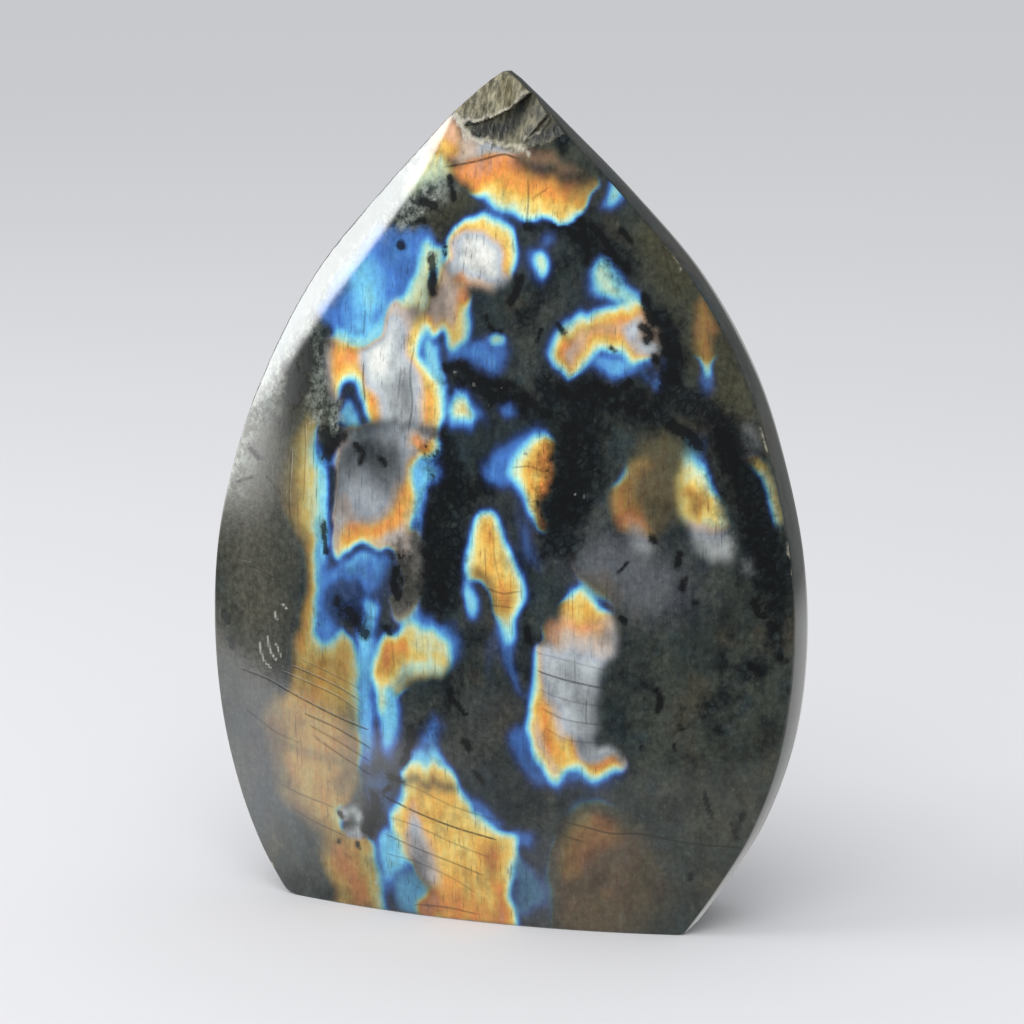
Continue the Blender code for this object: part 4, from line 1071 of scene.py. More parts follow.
def draw_clefts(face):
    """Hairline cracks, most of them dipping to the right, and upright ones in the pale rock."""
    for line, strength in (
            ([(-16, 24.9), (-20.7, 26.2), (-26.4, 28.1), (-30.4, 29.6), (-34.6, 30.4)], 1),
            ([(-33.9, 24.8), (-29.6, 22.6), (-26.4, 21.7)], 0.45),
            ([(-28.9, 15.3), (-25.7, 14.4), (-21.4, 13.5)], 0.6),
            ([(-26.8, 12), (-24.3, 11), (-20, 9.8)], 0.7), ([(-9.3, 1.5), (-5, 1.6), (-1.4, 1.2)], 0.6),
            ([(11.8, 14.7), (14.3, 14.2), (17.1, 13.6), (21, 13.7), (27, 12.6), (33, 12.2)], 0.7),
            ([(11.2, 12.9), (13.4, 12.3)], 0.6),
            ([(-5.4, 97.6), (-1.6, 98.4), (1.6, 99.3), (3.2, 99)], 0.9),
            ([(5.2, 95.8), (5.3, 93.4), (5.2, 90.6)], 0.7), ([(6.2, 94.3), (7.4, 95.1)], 0.5),
            ([(-16.2, 78.8), (-16.3, 76.6)], 0.6), ([(-16.2, 72.3), (-16.2, 70.2), (-15.9, 68.2)], 0.8),
            ([(-9.2, 74.6), (-9.6, 71.6), (-9.2, 67.8), (-9.6, 64.6)], 0.6),
            ([(-10.9, 72), (-11.2, 68.6)], 0.5), ([(0.3, 101.2), (0.2, 100)], 0.8),
            ([(4.9, 60.6), (6.6, 60.8), (8.4, 60.2)], 0.5), ([(1.4, 44.9), (3.4, 44.4), (5.2, 44.8)], 0.5),
            ([(1.8, 42.8), (4.2, 42.7)], 0.5), ([(-24.6, 64), (-24.5, 60), (-24.8, 54)], 0.4),
            ([(-26.6, 60), (-26.9, 54), (-26.5, 50)], 0.35), ([(-30.2, 56.4), (-28.4, 54.8)], 0.35),
            ([(-34, 44.6), (-30, 43.6), (-26, 42)], 0.25), ([(-32, 47), (-27.6, 45.8)], 0.22),
            ([(20.8, 35.6), (22.4, 36.6), (24.4, 38.2)], 0.35), ([(29.6, 20), (33, 19.2)], 0.25),
            ([(5, 15), (8.6, 14.4)], 0.3), ([(2, 53), (2.2, 49), (3, 45.6)], 0.35),
            ([(-11.8, 36.6), (-11.6, 33.8)], 0.35), ([(21.4, 91), (23.2, 86), (24.6, 81)], 0.4),
            ([(23.6, 88.4), (25.4, 83)], 0.3)):
        face.cleft(line, strength)
    # close neighbours run opposite ways, so that the distance keeps its sign between them
    for k, strength in enumerate((0.4, 0.7, 0.5)):
        line = [(-25 - 1.4 * k, 32.9 - k), (-20.6, 31.6 - 1.3 * k), (-16.8, 30.2 - 1.5 * k)]
        face.cleft(line[::(-1)**k], strength)
    for k, strength in enumerate((0.8, 0.5, 0.6)):
        line = [(-24.4 + 0.6 * k, 25.6 - 1.5 * k), (-20, 24.4 - 1.7 * k), (-15.8, 22.6 - 1.8 * k)]
        face.cleft(line[::(-1)**k], strength)
    for k, (strength, sag) in enumerate(((0.4, 0.3), (1, -0.5), (0.45, 0.1), (0.6, -0.5), (0.4, 0.1))):
        line = [(-12.9, 18.4 - 2.6 * k), (-8.8, 17.3 - 2.5 * k + sag), (-3.8, 15.6 - 2.5 * k + 0.4 * sag),
                (2.6 - k, 14.3 - 2.5 * k)]
        face.cleft(line[::(-1)**k], strength)
        line = [(8 + 0.3 * k, 37 - 2.5 * k), (11.8, 36.2 - 2.6 * k), (16.4, 35.2 - 2.4 * k)]
        face.cleft(line, 0.8 * strength)
    for line in (
            [(-31.9, 34.4), (-31.3, 32.2), (-30.2, 31.2)], [(-30.5, 35.4), (-30.2, 33.6), (-29.3, 32.4)],
            [(-29.2, 34.6), (-28.5, 33)], [(-29.4, 38.9), (-29, 37.7)], [(-28.2, 40.1), (-27.4, 39.5)]):
        face.scratch(line, 0.2)
    for x, z, size in ((22.4, 15.7, 0.14), (17.6, 8.7, 0.14), (32.2, 19.9, 0.16), (13.6, 57.3, 0.24),
                       (12.5, 57.6, 0.2), (9, 47.7, 0.14), (-3.5, 72.1, 0.26), (-0.9, 70.7, 0.24),
                       (2.8, 70.6, 0.16), (-8.7, 91.8, 0.26), (-7.1, 93.5, 0.22), (-7.7, 92.4, 0.16)):
        face.scratch([(x, z)], size)


def draw_tones(face):
    """Tones of the ground itself: olive, lilac haze and darker rock, with painted shade on the tip's facets,
    pale flecks of painted sheen along the shoulder and the left edge, and whitish bruises at the edges, some
    of them painted highlights on the tip's steps.
    """
    for line, radius, strength in (
            ([(22, 89), (25, 84), (28, 76), (31, 70)], 6, 0.8), ([(8, 99), (12, 97), (15, 94)], 4, 0.5),
            ([(1.2, 107.8), (1.8, 105.6)], 1.7, 1), ([(25, 62), (31, 58)], 7, 0.3),
            ([(-33, 54), (-32, 40)], 8, 0.45), ([(14, 6), (24, 4)], 9, 0.12),
            ([(-24, 66), (-28, 58)], 6, 0.4), ([(33, 20), (28, 10)], 12, 0.2),
            ([(-7, 91), (-3.2, 94)], 3.2, 0.9)):
        face.tone("olive", line, radius, strength)
    for line, radius, strength in (
            ([(16, 50), (24, 46)], 8, 0.8), ([(10, 54), (14, 46)], 5, 0.5),
            ([(-24, 86), (-28, 78)], 6, 0.5), ([(7, 10), (7, 3)], 5, 0.7), ([(-14, 60), (-16, 54)], 6, 0.5),
            ([(-31, 28), (-34, 14)], 9, 0.5), ([(-18, 70), (-10, 72)], 6, 0.5),
            ([(1, 30), (0, 24)], 6, 0.3)):
        face.tone("haze", line, radius, strength)
    for line, radius, strength in (
            ([(-34, 60), (-33, 46), (-31, 34)], 10, 1), ([(-27, 58), (-27, 44)], 4, 0.6),
            ([(-12, 26), (-2, 24), (8, 30)], 6, 0.5), ([(-9.6, 51), (-9.2, 46), (-10.4, 41)], 3, 0.8)):
        face.tone("warm", line, radius, strength)
    # pale flecks that paint sheen on the left of the face: a painted reflection down its left edge, and a
    # painted highlight along and beside the inner edge of the ground shoulder
    for line, radius, strength in (
            ([(-36, 56), (-32.6, 64), (-28.6, 71)], 4, 0.9), ([(-28, 72), (-21, 82), (-13, 91)], 2.6, 0.8),
            ([(-11.4, 91.4), (-7, 95)], 3.6, 1), ([(-9.4, 99.8), (-11.4, 96.6)], 2.6, 1),
            ([(-22.8, 64), (-23.2, 74)], 3, 0.7), ([(-20.6, 67), (-20, 64.8)], 1.7, 1)):
        face.tone("frost_and_sheen", line, radius, strength)
    for line, radius, strength in (
            ([(-6.2, 63), (-3.8, 57.6), (-6.6, 52.6), (-3.8, 48), (-5.6, 43)], 4.6, 1),
            ([(12.5, 68), (12.5, 58), (10, 52)], 5.5, 1), ([(9, 71), (18, 69.5), (23, 67.5)], 4, 0.9),
            ([(24, 70), (31, 66), (34, 58), (37, 47)], 4.4, 1),
            ([(22.6, 68), (24, 74), (22.6, 80)], 2.6, 1), ([(-2, 71), (5, 69.5)], 3.4, 0.9),
            ([(2, 59), (-2, 56), (-4, 50)], 4, 0.8), ([(22, 36), (30, 33), (36, 38)], 9, 0.35),
            ([(6, 48), (6.4, 32)], 4, 0.6), ([(-16, 42), (-18, 39.6)], 3, 0.8),
            ([(8, 90.5), (14, 89), (17, 86)], 4, 0.8), ([(5, 80), (8, 84), (10, 88)], 4, 0.6),
            ([(-2, 38), (-4, 30), (-9, 24)], 4.5, 0.35), ([(7, 19), (9, 16)], 4, 0.5),
            ([(5.4, 101.6), (9.4, 102.2)], 2.8, 1),
            # the next two strokes paint shade on the tip: over the notch's left face, which turns from the
            # light, and under the cap's step
            ([(-1.8, 102.2), (0.6, 102.2), (2.4, 102.8), (3, 104.6)], 2.7, 1),
            ([(4.2, 106), (5.6, 104.6), (7.2, 103)], 2, 0.7),
            ([(36.6, 52), (37.4, 44), (37, 39)], 2.6, 0.8), ([(-15.6, 15.6), (-16, 11.6)], 2.6, 0.7)):
        face.tone("dark", line, radius, strength)
    for line, radius, strength in (
            ([(-4.8, 104.2), (-4, 102.9), (-2.6, 101.5), (-0.6, 100.7), (1.6, 100.3), (3.6, 99.9),
              (5.2, 99.4)], 0.85, 0.9),
            # this stroke along the cap's step, and the first stroke on the next line along the low step,
            # paint highlights where those edges catch the light; the rest are crushed rock and chips
            ([(-3.6, 103.3), (-1.8, 103.5), (0, 104), (1.6, 104.9), (3, 106.1), (4.2, 107)], 0.6, 0.85),
            ([(4.2, 100.8), (6.8, 103.2), (7.2, 104)], 0.5, 0.7), ([(22.8, 89), (24.6, 86)], 0.45, 0.7),
            ([(31.4, 76), (33.6, 71.4)], 0.42, 0.75), ([(34.8, 66.2), (35.8, 62.6)], 0.42, 0.7),
            ([(38.2, 54), (39, 47.6)], 0.42, 0.75), ([(-31.4, 3.8), (-31, 2.8)], 0.5, 0.7),
            ([(-8.4, 102), (-10.8, 99.6)], 0.5, 0.5), ([(-20, 3.4), (-18.4, 2.6)], 0.4, 0.4)):
        face.tone("chalk_and_glint", line, radius, strength)


def finish_drawing(face):
    """Blur the light as the stone's depth does, let it tint the rock, and name what is laid on the mesh."""
    light = face.glow_sum / face.weight
    level = face.level_sum / face.weight
    seen = light + least_light
    blurred_seen = blurred(seen, flash_blur)
    face.laid = {
        "flash": blurred(level * seen, flash_blur) / blurred_seen,
        "pale": blurred(face.pale_sum / face.weight * seen, flash_blur) / blurred_seen,
        "glow": blurred(light, flash_blur),
        "tint": blurred(np.clip(level * light / tint_full_level, 0, 1), tint_blur),
        "ink": face.ink, "crack": face.crack, "crack_strength": face.crack_strength,
        "scuff": face.scuff, **face.tones,
    }


front_drawing = FaceDrawing()
for draw in (draw_tones, draw_blue_pool, draw_lilac_island, draw_grey_island, draw_gold_stripe,
             draw_blue_gap, draw_foot_flame, draw_brown_haze, draw_crown, draw_round_patch,
             draw_branched_patch, draw_muted_arcs, draw_right_rim, draw_middle, draw_leaning_gold,
             draw_long_patch, draw_ore, draw_clefts, finish_drawing):
    draw(front_drawing)

# The back face
# The slab's other polished face, cut across the same layers. It flashes in fewer and wider
# fields with soft borders, blue for the most part, with gold where the layers lie flatter.


def draw_back(face):
    """Five broad fields in a blue haze, with small spots between them, ore and cracks."""
    face.patch([(-26, 58, -7), (-22, 66, -3), (-16, 67, 1.4), (-12, 73, 1.8), (-5, 74, 2.4), (-1, 70, 1.6),
                (4, 69, 1.4), (6, 62, 1.6), (11, 57), (9, 50, 2), (4, 49, 1.4), (1, 43, 2), (-3, 46, 1.6),
                (-6, 53, 1.4), (-11, 52, 1.8), (-15, 46, -4), (-21, 50, -6)],
               fringe=2.2, peak=0.62, climb=7, glow=0.62)
    face.patch([(-6, 91, -2), (-1, 94, 1.4), (3, 97, -2), (7, 90, 1.4), (9, 85), (13, 81, 2), (8, 77, 1.6),
                (3, 81, 1.2), (-1, 79, 2), (-4, 84, 1.2), (-11, 81, -4)], peak=0.44, glow=0.55)
    face.patch([(13, 45, 1.4), (19, 50, 1.8), (24, 45, 1.2), (30, 46, -4), (32, 32, -8), (27, 23, -5),
                (24, 13, -4), (17, 10, 2), (13, 17, 1.4), (17, 24, 1.2), (15, 29, 1.4), (18, 36, 1.2)],
               fringe=1.9, peak=0.57, climb=6, glow=0.5)
    face.patch([(-31, 38, -6), (-24, 41, -3), (-19, 36, 1.2), (-14, 35, 2), (-15, 27), (-11, 20, 2.4),
                (-17, 16), (-20, 10, 2), (-28, 15, -7)], fringe=1.4, peak=0.35, glow=0.55)
    face.patch([(-9, 17, -3), (-4, 20, 1.4), (-1, 26), (4, 21, 1.2), (8, 17), (6, 9, 1.4), (2, 0, -2),
                (-7, 5, -4)], fringe=1.6, peak=0.64, climb=5, glow=0.38)
    face.patch([(-30, 50), (-22, 72), (-4, 86), (12, 76, -8), (14, 52, -8), (-4, 38, -8)],
               fringe=-9, peak=0.25, glow=0.34)
    face.patch([(6, 44, -7), (22, 58), (35, 36), (26, 6), (8, 6, -7)], fringe=-9, peak=0.23, glow=0.3)
    for x, z, size, peak in ((-14, 80, 2.2, 0.3), (15, 70, 2.6, 0.27), (18, 61, 1.8, 0.44),
                             (-27, 47, 2, 0.3), (9, 36, 2.4, 0.26), (4, 32, 1.5, 0.4), (-7, 37, 2, 0.27),
                             (-5, 99, 1.4, 0.3)):
        face.patch([(x - size, z - 0.4 * size), (x - 0.2 * size, z + size), (x + size, z + 0.3 * size),
                    (x + 0.4 * size, z - 1.1 * size)], fringe=1.3, peak=peak, glow=0.5)
    face.shade([(-12, 66), (-6, 58), (-8, 50)], 4, 0.6)
    face.shade([(2, 60), (4, 52)], 3, 0.5)
    face.shade([(20, 44), (22, 30), (19, 18)], 3.6, 0.55)
    for line, radius in (
            ([(-14, 78), (-11, 74), (-12, 70)], 0.7), ([(12, 70), (16, 66), (17, 60)], 0.6),
            ([(0, 38), (4, 35), (5, 30)], 0.8), ([(-20, 46), (-24, 43)], 0.6), ([(24, 60), (27, 56)], 0.5),
            ([(-4, 30), (-8, 27)], 0.5)):
        face.ore(line, radius)
    for line, radius, strength in (
            ([(-18, 76), (-10, 76), (0, 75)], 3, 0.5), ([(13, 66), (16, 56), (8, 40), (0, 36)], 3.4, 0.52)):
        face.ore(line, radius, strength)
    for line, strength in (
            ([(-30, 44), (-18, 46), (-8, 43), (6, 42), (16, 38)], 0.9),
            ([(-12, 86), (-2, 84), (8, 79)], 0.7), ([(8, 14), (18, 12), (28, 14)], 0.7),
            ([(-22, 26), (-12, 24), (-2, 26)], 0.6)):
        face.cleft(line, strength)


back_drawing = FaceDrawing()
draw_back(back_drawing)
finish_drawing(back_drawing)

# The solid stone
# The rings are skinned into one closed piece. The foot was sawn flat and only ground, so it
# has a dull finish of its own, while all the rest carries the polish.
foot_inset = 0.28
foot_rings = (0.985, 0.8, 0.5, 0.2)
foot_chip_x = -28.2
foot_chip_normal = (-0.60, -0.25, -0.75)
tip_rise = 0.015
sharp_angle = 60.0
break_depth = 0.03
break_fade = 0.1
break_from = 98.0
back_start = front_columns + wall_columns - 1
back_end = back_start + back_columns


def chip_foot(points):
    """Slice the small chip off the foot's left front corner."""
    normal = np.array(foot_chip_normal) / np.linalg.norm(foot_chip_normal)
    corner = np.array([foot_chip_x, dome_y(foot_chip_x, 0.0), 0.0])
    outside = np.maximum((points - corner) @ normal, 0.0)
    return points - outside[..., None] * normal


def inset_foot(ring):
    """Pull the lowest ring in a little, for the small ground bevel round the foot."""
    centre = ring.mean(axis=0)
    reach = np.linalg.norm(ring - centre, axis=1, keepdims=True)
    return centre + (ring - centre) * (1 - foot_inset / reach)


def skin(start, around, next_start):
    """Faces between two rings of points, counted from their first points."""
    i = np.arange(around)
    j = (i + 1) % around
    return np.stack([start + i, start + j, next_start + j, next_start + i], axis=1).tolist()


def fan(start, around, centre, facing_up):
    """Triangles from a ring of points to one point in its middle."""
    i = np.arange(around)
    j = (i + 1) % around
    a, b = (i, j) if facing_up else (j, i)
    return np.stack([start + a, start + b, np.full(around, centre)], axis=1).tolist()


def build_stone():
    """One closed mesh: the rings, smaller rings inside the foot, and a fan at each end."""
    rows, around = rings.shape[:2]
    shell = chip_foot(rings)
    shell[0] = inset_foot(shell[0])
    foot_centre = shell[0].mean(axis=0) * (1, 1, 0)
    inner = [foot_centre + (shell[0] * (1, 1, 0) - foot_centre) * share for share in foot_rings]
    tip = shell[-1].mean(axis=0) + np.array([0.0, 0.0, tip_rise])
    points = np.concatenate([shell.reshape(-1, 3), *inner, foot_centre[None], tip[None]])
    faces = []
    for row in range(rows - 1):
        faces += skin(row * around, around, (row + 1) * around)
    faces += fan((rows - 1) * around, around, len(points) - 1, facing_up=True)
    polished = len(faces)
    starts = [0] + [rows * around + k * around for k in range(len(foot_rings))]
    for outer_start, inner_start in zip(starts, starts[1:]):
        faces += skin(inner_start, around, outer_start)
    faces += fan(starts[-1], around, len(points) - 2, facing_up=False)
    mesh = bpy.data.meshes.new("polished_stone")
    mesh.from_pydata((points * MM).tolist(), [], faces)
    mesh.polygons.foreach_set("material_index", (np.arange(len(faces)) >= polished).astype(int))
    mesh.shade_smooth()
    mesh.set_sharp_from_angle(angle=math.radians(sharp_angle))
    return mesh


def canvas_at(canvas, x, z):
    """A canvas value at mesh points, between the four nearest canvas points."""
    across = (x + canvas_half_width) / canvas_step
    up = (z - canvas_foot) / canvas_step
    i, j = across.astype(int), up.astype(int)
    u, v = across - i, up - j
    low = canvas[j, i] * (1 - u) + canvas[j, i + 1] * u
    high = canvas[j + 1, i] * (1 - u) + canvas[j + 1, i + 1] * u
    return low * (1 - v) + high * v


def lay_on(mesh, name, front_canvas, back_canvas, elsewhere):
    """Store a drawn value on the mesh points, for the material to read by its name."""
    rows, around = rings.shape[:2]
    values = np.full(len(mesh.vertices), elsewhere)
    on_rings = values[:rows * around].reshape(rows, around)
    for canvas, start, end in ((front_canvas, 0, front_columns), (back_canvas, back_start, back_end)):
        if canvas is not None:
            on_rings[:, start:end] = canvas_at(canvas, rings[:, start:end, 0], rings[:, start:end, 2])
    mesh.attributes.new(name, "FLOAT", "POINT").data.foreach_set("value", values)


def broken_share(x, z):
    """1 on the cleaved faces of the tip and 0 on the ground and polished front."""
    return ease((front_y(x, z) - ground_y(x, z) - break_depth) / break_fade) * (z > break_from)


def shoulder_share(x, z):
    """1 on the ground shoulder, fading to 0 over its soft inner edge."""
    return ease(0.5 + (shoulder_y(x, z) - dome_y(x, z)) / shoulder_blend)


stone_mesh = build_stone()
front_drawing.laid["broken"] = broken_share(front_drawing.x, front_drawing.z)
front_drawing.laid["shoulder"] = shoulder_share(front_drawing.x, front_drawing.z)
for name, canvas in front_drawing.laid.items():
    lay_on(stone_mesh, name, canvas, back_drawing.laid.get(name), no_crack if name == "crack" else 0.0)

# The finish of the stone
# The ground is a grey-green rock with clouds, veins and ore grains, and the drawn flash lies
# over it in spectral order. The noise in it is counted in lumps per millimetre.
feldspar_ior = 1.56
polish_relief = 0.12
sawn_relief = 0.05


def rgb(red, green, blue):
    """A colour named by its 0 to 255 display values, as the linear colour that nodes take."""
    share = np.array([red, green, blue]) / 255
    linear = np.where(share <= 0.04045, share / 12.92, ((share + 0.055) / 1.055)**2.4)
    return (*linear.tolist(), 1.0)


def feed(tree, node, inputs):
    """Link sockets to a node's inputs, or set plain values on them."""
    for key, value in inputs.items():
        if isinstance(value, bpy.types.NodeSocket):
            tree.links.new(value, node.inputs[key])
        else:
            node.inputs[key].default_value = value


def add(tree, kind, inputs=None, **settings):
    """Add a shader node, choose its options, and feed its inputs."""
    node = tree.nodes.new("ShaderNode" + kind)
    for name, value in settings.items():
        setattr(node, name, value)
    feed(tree, node, inputs or {})
    return node


def maths(tree, operation, *values):
    return add(tree, "Math", dict(enumerate(values)), operation=operation).outputs[0]


def times(tree, a, b):
    return maths(tree, "MULTIPLY", a, b)


def times_plus(tree, a, b, c):
    """a times b, plus c."""
    return maths(tree, "MULTIPLY_ADD", a, b, c)


def smooth_step(tree, value, low, high, bottom=0.0, top=1.0):
    """Ease from bottom at low to top at high, where low may also be the greater of the two."""
    inputs = {"Value": value, "From Min": low, "From Max": high, "To Min": bottom, "To Max": top}
    return add(tree, "MapRange", inputs, interpolation_type="SMOOTHSTEP").outputs["Result"]


def blend_colour(tree, share, a, b, mode="MIX"):
    settings = {"data_type": "RGBA", "blend_type": mode, "clamp_factor": True}
    return add(tree, "Mix", {0: share, 6: a, 7: b}, **settings).outputs[2]


def tinged(tree, colour, tone, share, strength):
    """A colour with a tone laid over it at some strength, where the share is above nought."""
    return blend_colour(tree, times(tree, share, strength), colour, tone)


def grey(tree, value):
    """The same value as red, green and blue."""
    return add(tree, "CombineXYZ", {0: value, 1: value, 2: value}).outputs[0]


def drawn(tree, name):
    """A value drawn on the stone, read from the mesh by its name."""
    return add(tree, "Attribute", attribute_name=name).outputs["Fac"]


def grain(tree, position, per_mm, seed, detail=2.0, roughness=0.5):
    """Noise in millimetres, with its own number of lumps per millimetre along x, y and z."""
    placed = add(tree, "VectorMath", {0: position, 1: per_mm}, operation="MULTIPLY").outputs[0]
    inputs = {"Vector": placed, "Scale": 1.0, "Detail": detail, "Roughness": roughness, "W": seed}
    return add(tree, "TexNoise", inputs, noise_dimensions="4D").outputs["Fac"]


def feldspar_ground_group():
    """Grey-green feldspar under the flash: clouds, mottling, black veins, upright lamellae and grain."""
    tree = bpy.data.node_groups.new("feldspar ground", "ShaderNodeTree")
    inputs = ["Position", "Olive", "Haze", "Warm", "Frost_and_sheen", "Dark", "Tint"]
    outputs = ["Color", "Clouds", "Lamellae", "Grain"]
    for names, way in ((inputs, "INPUT"), (outputs, "OUTPUT")):
        for name in names:
            kind = {"Position": "NodeSocketVector", "Color": "NodeSocketColor"}.get(name, "NodeSocketFloat")
            tree.interface.new_socket(name=name, in_out=way, socket_type=kind)
    given = tree.nodes.new("NodeGroupInput").outputs
    position = given["Position"]
    fields = grain(tree, position, (0.10, 0.10, 0.08), 1.0, detail=4.0, roughness=0.6)
    clouds = grain(tree, position, (0.30, 0.30, 0.24), 2.0, detail=6.0, roughness=0.66)
    lamellae = grain(tree, position, (2.4, 2.4, 0.10), 3.0, detail=3.0, roughness=0.6)
    fine = grain(tree, position, (1.3, 1.3, 1.1), 4.0, detail=6.0, roughness=0.74)
    flecks = grain(tree, position, (0.8, 0.8, 0.7), 5.0, detail=6.0, roughness=0.78)
    tints = grain(tree, position, (0.16, 0.16, 0.12), 6.0, detail=3.0, roughness=0.6)
    colour = blend_colour(tree, smooth_step(tree, fields, 0.40, 0.60), rgb(46, 54, 51), rgb(66, 70, 63))
    colour = blend_colour(tree, smooth_step(tree, tints, 0.53, 0.66, top=0.55), colour, rgb(42, 58, 66))
    colour = blend_colour(tree, smooth_step(tree, tints, 0.47, 0.34, top=0.50), colour, rgb(74, 66, 52))
    colour = blend_colour(tree, smooth_step(tree, clouds, 0.44, 0.64, top=0.75), colour, rgb(27, 33, 33))
    for name, strength, tone in (("Olive", 0.65, rgb(84, 80, 54)), ("Haze", 0.6, rgb(78, 80, 90)),
                                 ("Warm", 0.75, rgb(84, 83, 74)), ("Tint", 0.5, rgb(18, 38, 58))):
        colour = tinged(tree, colour, tone, given[name], strength)
    colour = blend_colour(tree, smooth_step(tree, flecks, 0.54, 0.70, top=0.32), colour, rgb(100, 106, 96))
    # dark rock: islands of deep grey-green between black veins
    dark_edge = maths(tree, "ADD", given["Dark"], times_plus(tree, clouds, 2.2, -1.1))
    darkness = smooth_step(tree, dark_edge, 0.15, 0.85)
    bend = grey(tree, times(tree, flecks, 1.6))
    bent = add(tree, "VectorMath", {0: position, 1: bend}, operation="ADD").outputs[0]
    cells = add(tree, "TexVoronoi", {"Vector": bent, "Scale": 0.85}, feature="DISTANCE_TO_EDGE")
    veins = smooth_step(tree, cells.outputs["Distance"], 0.20, 0.03)
    islands = blend_colour(tree, smooth_step(tree, flecks, 0.46, 0.72), rgb(23, 31, 36), rgb(54, 62, 61))
    deep = tinged(tree, islands, rgb(9, 12, 13), veins, 0.85)
    colour = tinged(tree, colour, deep, darkness, 0.92)
    colour = tinged(tree, colour, rgb(10, 14, 15), veins, 0.16)
    # pale flecks of painted sheen and highlight, drawn along the shoulder and the left edge
    sheen_fleck_share = smooth_step(tree, flecks, 0.42, 0.60, top=0.75)
    colour = tinged(tree, colour, rgb(158, 166, 156), given["Frost_and_sheen"], sheen_fleck_share)
    shine = times_plus(tree, lamellae, 0.5, times_plus(tree, fine, 2.4, -0.5))
    colour = blend_colour(tree, 1.0, colour, grey(tree, shine), mode="MULTIPLY")
    out = tree.nodes.new("NodeGroupOutput")
    feed(tree, out, {"Color": colour, "Clouds": clouds, "Lamellae": lamellae, "Grain": fine})
    return tree


ground_group = feldspar_ground_group()
flash_ramp = [
    (0.00, rgb(30, 44, 54)), (0.08, rgb(22, 38, 68)), (0.17, rgb(42, 66, 126)),
    (0.25, rgb(72, 124, 202)), (0.32, rgb(112, 192, 230)), (0.39, rgb(162, 222, 214)),
    (0.46, rgb(216, 232, 192)), (0.52, rgb(238, 214, 124)), (0.58, rgb(232, 178, 82)),
    (0.64, rgb(238, 150, 74)), (0.70, rgb(224, 158, 116)), (0.80, rgb(204, 160, 138)),
]
pale_ramp = [
    (0.00, rgb(226, 188, 142)), (0.25, rgb(212, 186, 162)), (0.45, rgb(204, 194, 186)),
    (0.62, rgb(188, 196, 204)), (0.80, rgb(208, 214, 212)), (1.00, rgb(236, 236, 228)),
]


def stone_material(name):
    """A material with one principled shader, the position in millimetres and the rock ground."""
    material = bpy.data.materials.new(name)
    material.use_nodes = True
    tree = material.node_tree
    tree.nodes.clear()
    shader = add(tree, "BsdfPrincipled", {"IOR": feldspar_ior})
    add(tree, "OutputMaterial", {"Surface": shader.outputs[0]})
    at = add(tree, "TexCoord").outputs["Object"]
    position = add(tree, "VectorMath", {0: at, "Scale": 1 / MM}, operation="SCALE").outputs[0]
    ground = add(tree, "Group", {"Position": position}, node_tree=ground_group)
    return material, tree, shader, position, ground


def colour_ramp(tree, value, ramp):
    """The ramp's colour at a value."""
    node = add(tree, "ValToRGB", {"Fac": value})
    stops = node.color_ramp.elements
    stops[0].position, stops[0].color = ramp[0]
    stops[1].position, stops[1].color = ramp[-1]
    for place, colour in ramp[1:-1]:
        stops.new(place).color = colour
    return node.outputs["Color"]


def flash_over(tree, position, ground):
    """The drawn flash, ruffled and clouded by the rock, laid over the ground's colour."""
    streaks = grain(tree, position, (1.3, 1.3, 0.09), 11.0, detail=4.0, roughness=0.6)
    flecks = grain(tree, position, (0.42, 0.42, 0.34), 12.0, detail=6.0, roughness=0.68)
    drawn_level = drawn(tree, "flash")
    ruffle = maths(tree, "ADD", times_plus(tree, streaks, 0.15, -0.075),
                   times_plus(tree, flecks, 0.20, -0.10))
    ruffled_share = smooth_step(tree, drawn_level, 0.0, 0.7)
    level = maths(tree, "ADD", drawn_level, times(tree, ruffle, ruffled_share))
    paleness = drawn(tree, "pale")
    pale_place = times_plus(tree, ruffle, 1.3, times(tree, paleness, 1 / palest))
    colour = blend_colour(tree, smooth_step(tree, paleness, 0.0, 0.6),
                          colour_ramp(tree, level, flash_ramp), colour_ramp(tree, pale_place, pale_ramp))
    clouded = smooth_step(tree, ground.outputs["Clouds"], 0.44, 0.72, bottom=1.0, top=0.56)
    lines = grain(tree, position, (3.4, 3.4, 0.22), 13.0)
    lined = smooth_step(tree, lines, 0.58, 0.72, bottom=1.0, top=0.55)
    cover = times(tree, smooth_step(tree, level, 0.02, 0.32), drawn(tree, "glow"))
    cover = times(tree, times(tree, cover, clouded), lined)
    sheen = times_plus(tree, ground.outputs["Lamellae"], 0.30,
                       times_plus(tree, ground.outputs["Grain"], 0.8, 0.45))
    colour = blend_colour(tree, 1.0, colour, grey(tree, sheen), mode="MULTIPLY")
    return blend_colour(tree, cover, ground.outputs["Color"], colour)


def cleaved_rock(tree, splinters):
    """Raw olive-grey rock on the broken tip, with its splintery grain, darkened where the dark tone is
    drawn: dull dark rock on the low face, and painted shade on the notch's left face, which turns from the
    light, and under the cap's step.
    """
    colour = blend_colour(tree, smooth_step(tree, splinters, 0.36, 0.66), rgb(74, 70, 52),
                          rgb(146, 140, 112))
    colour = tinged(tree, colour, rgb(92, 84, 46), drawn(tree, "olive"), 0.6)
    # painted shade where the dark tone lies on the tip's facets that turn from the light and under the cap's
    # step
    return tinged(tree, colour, rgb(24, 31, 33), drawn(tree, "dark"), 0.92)


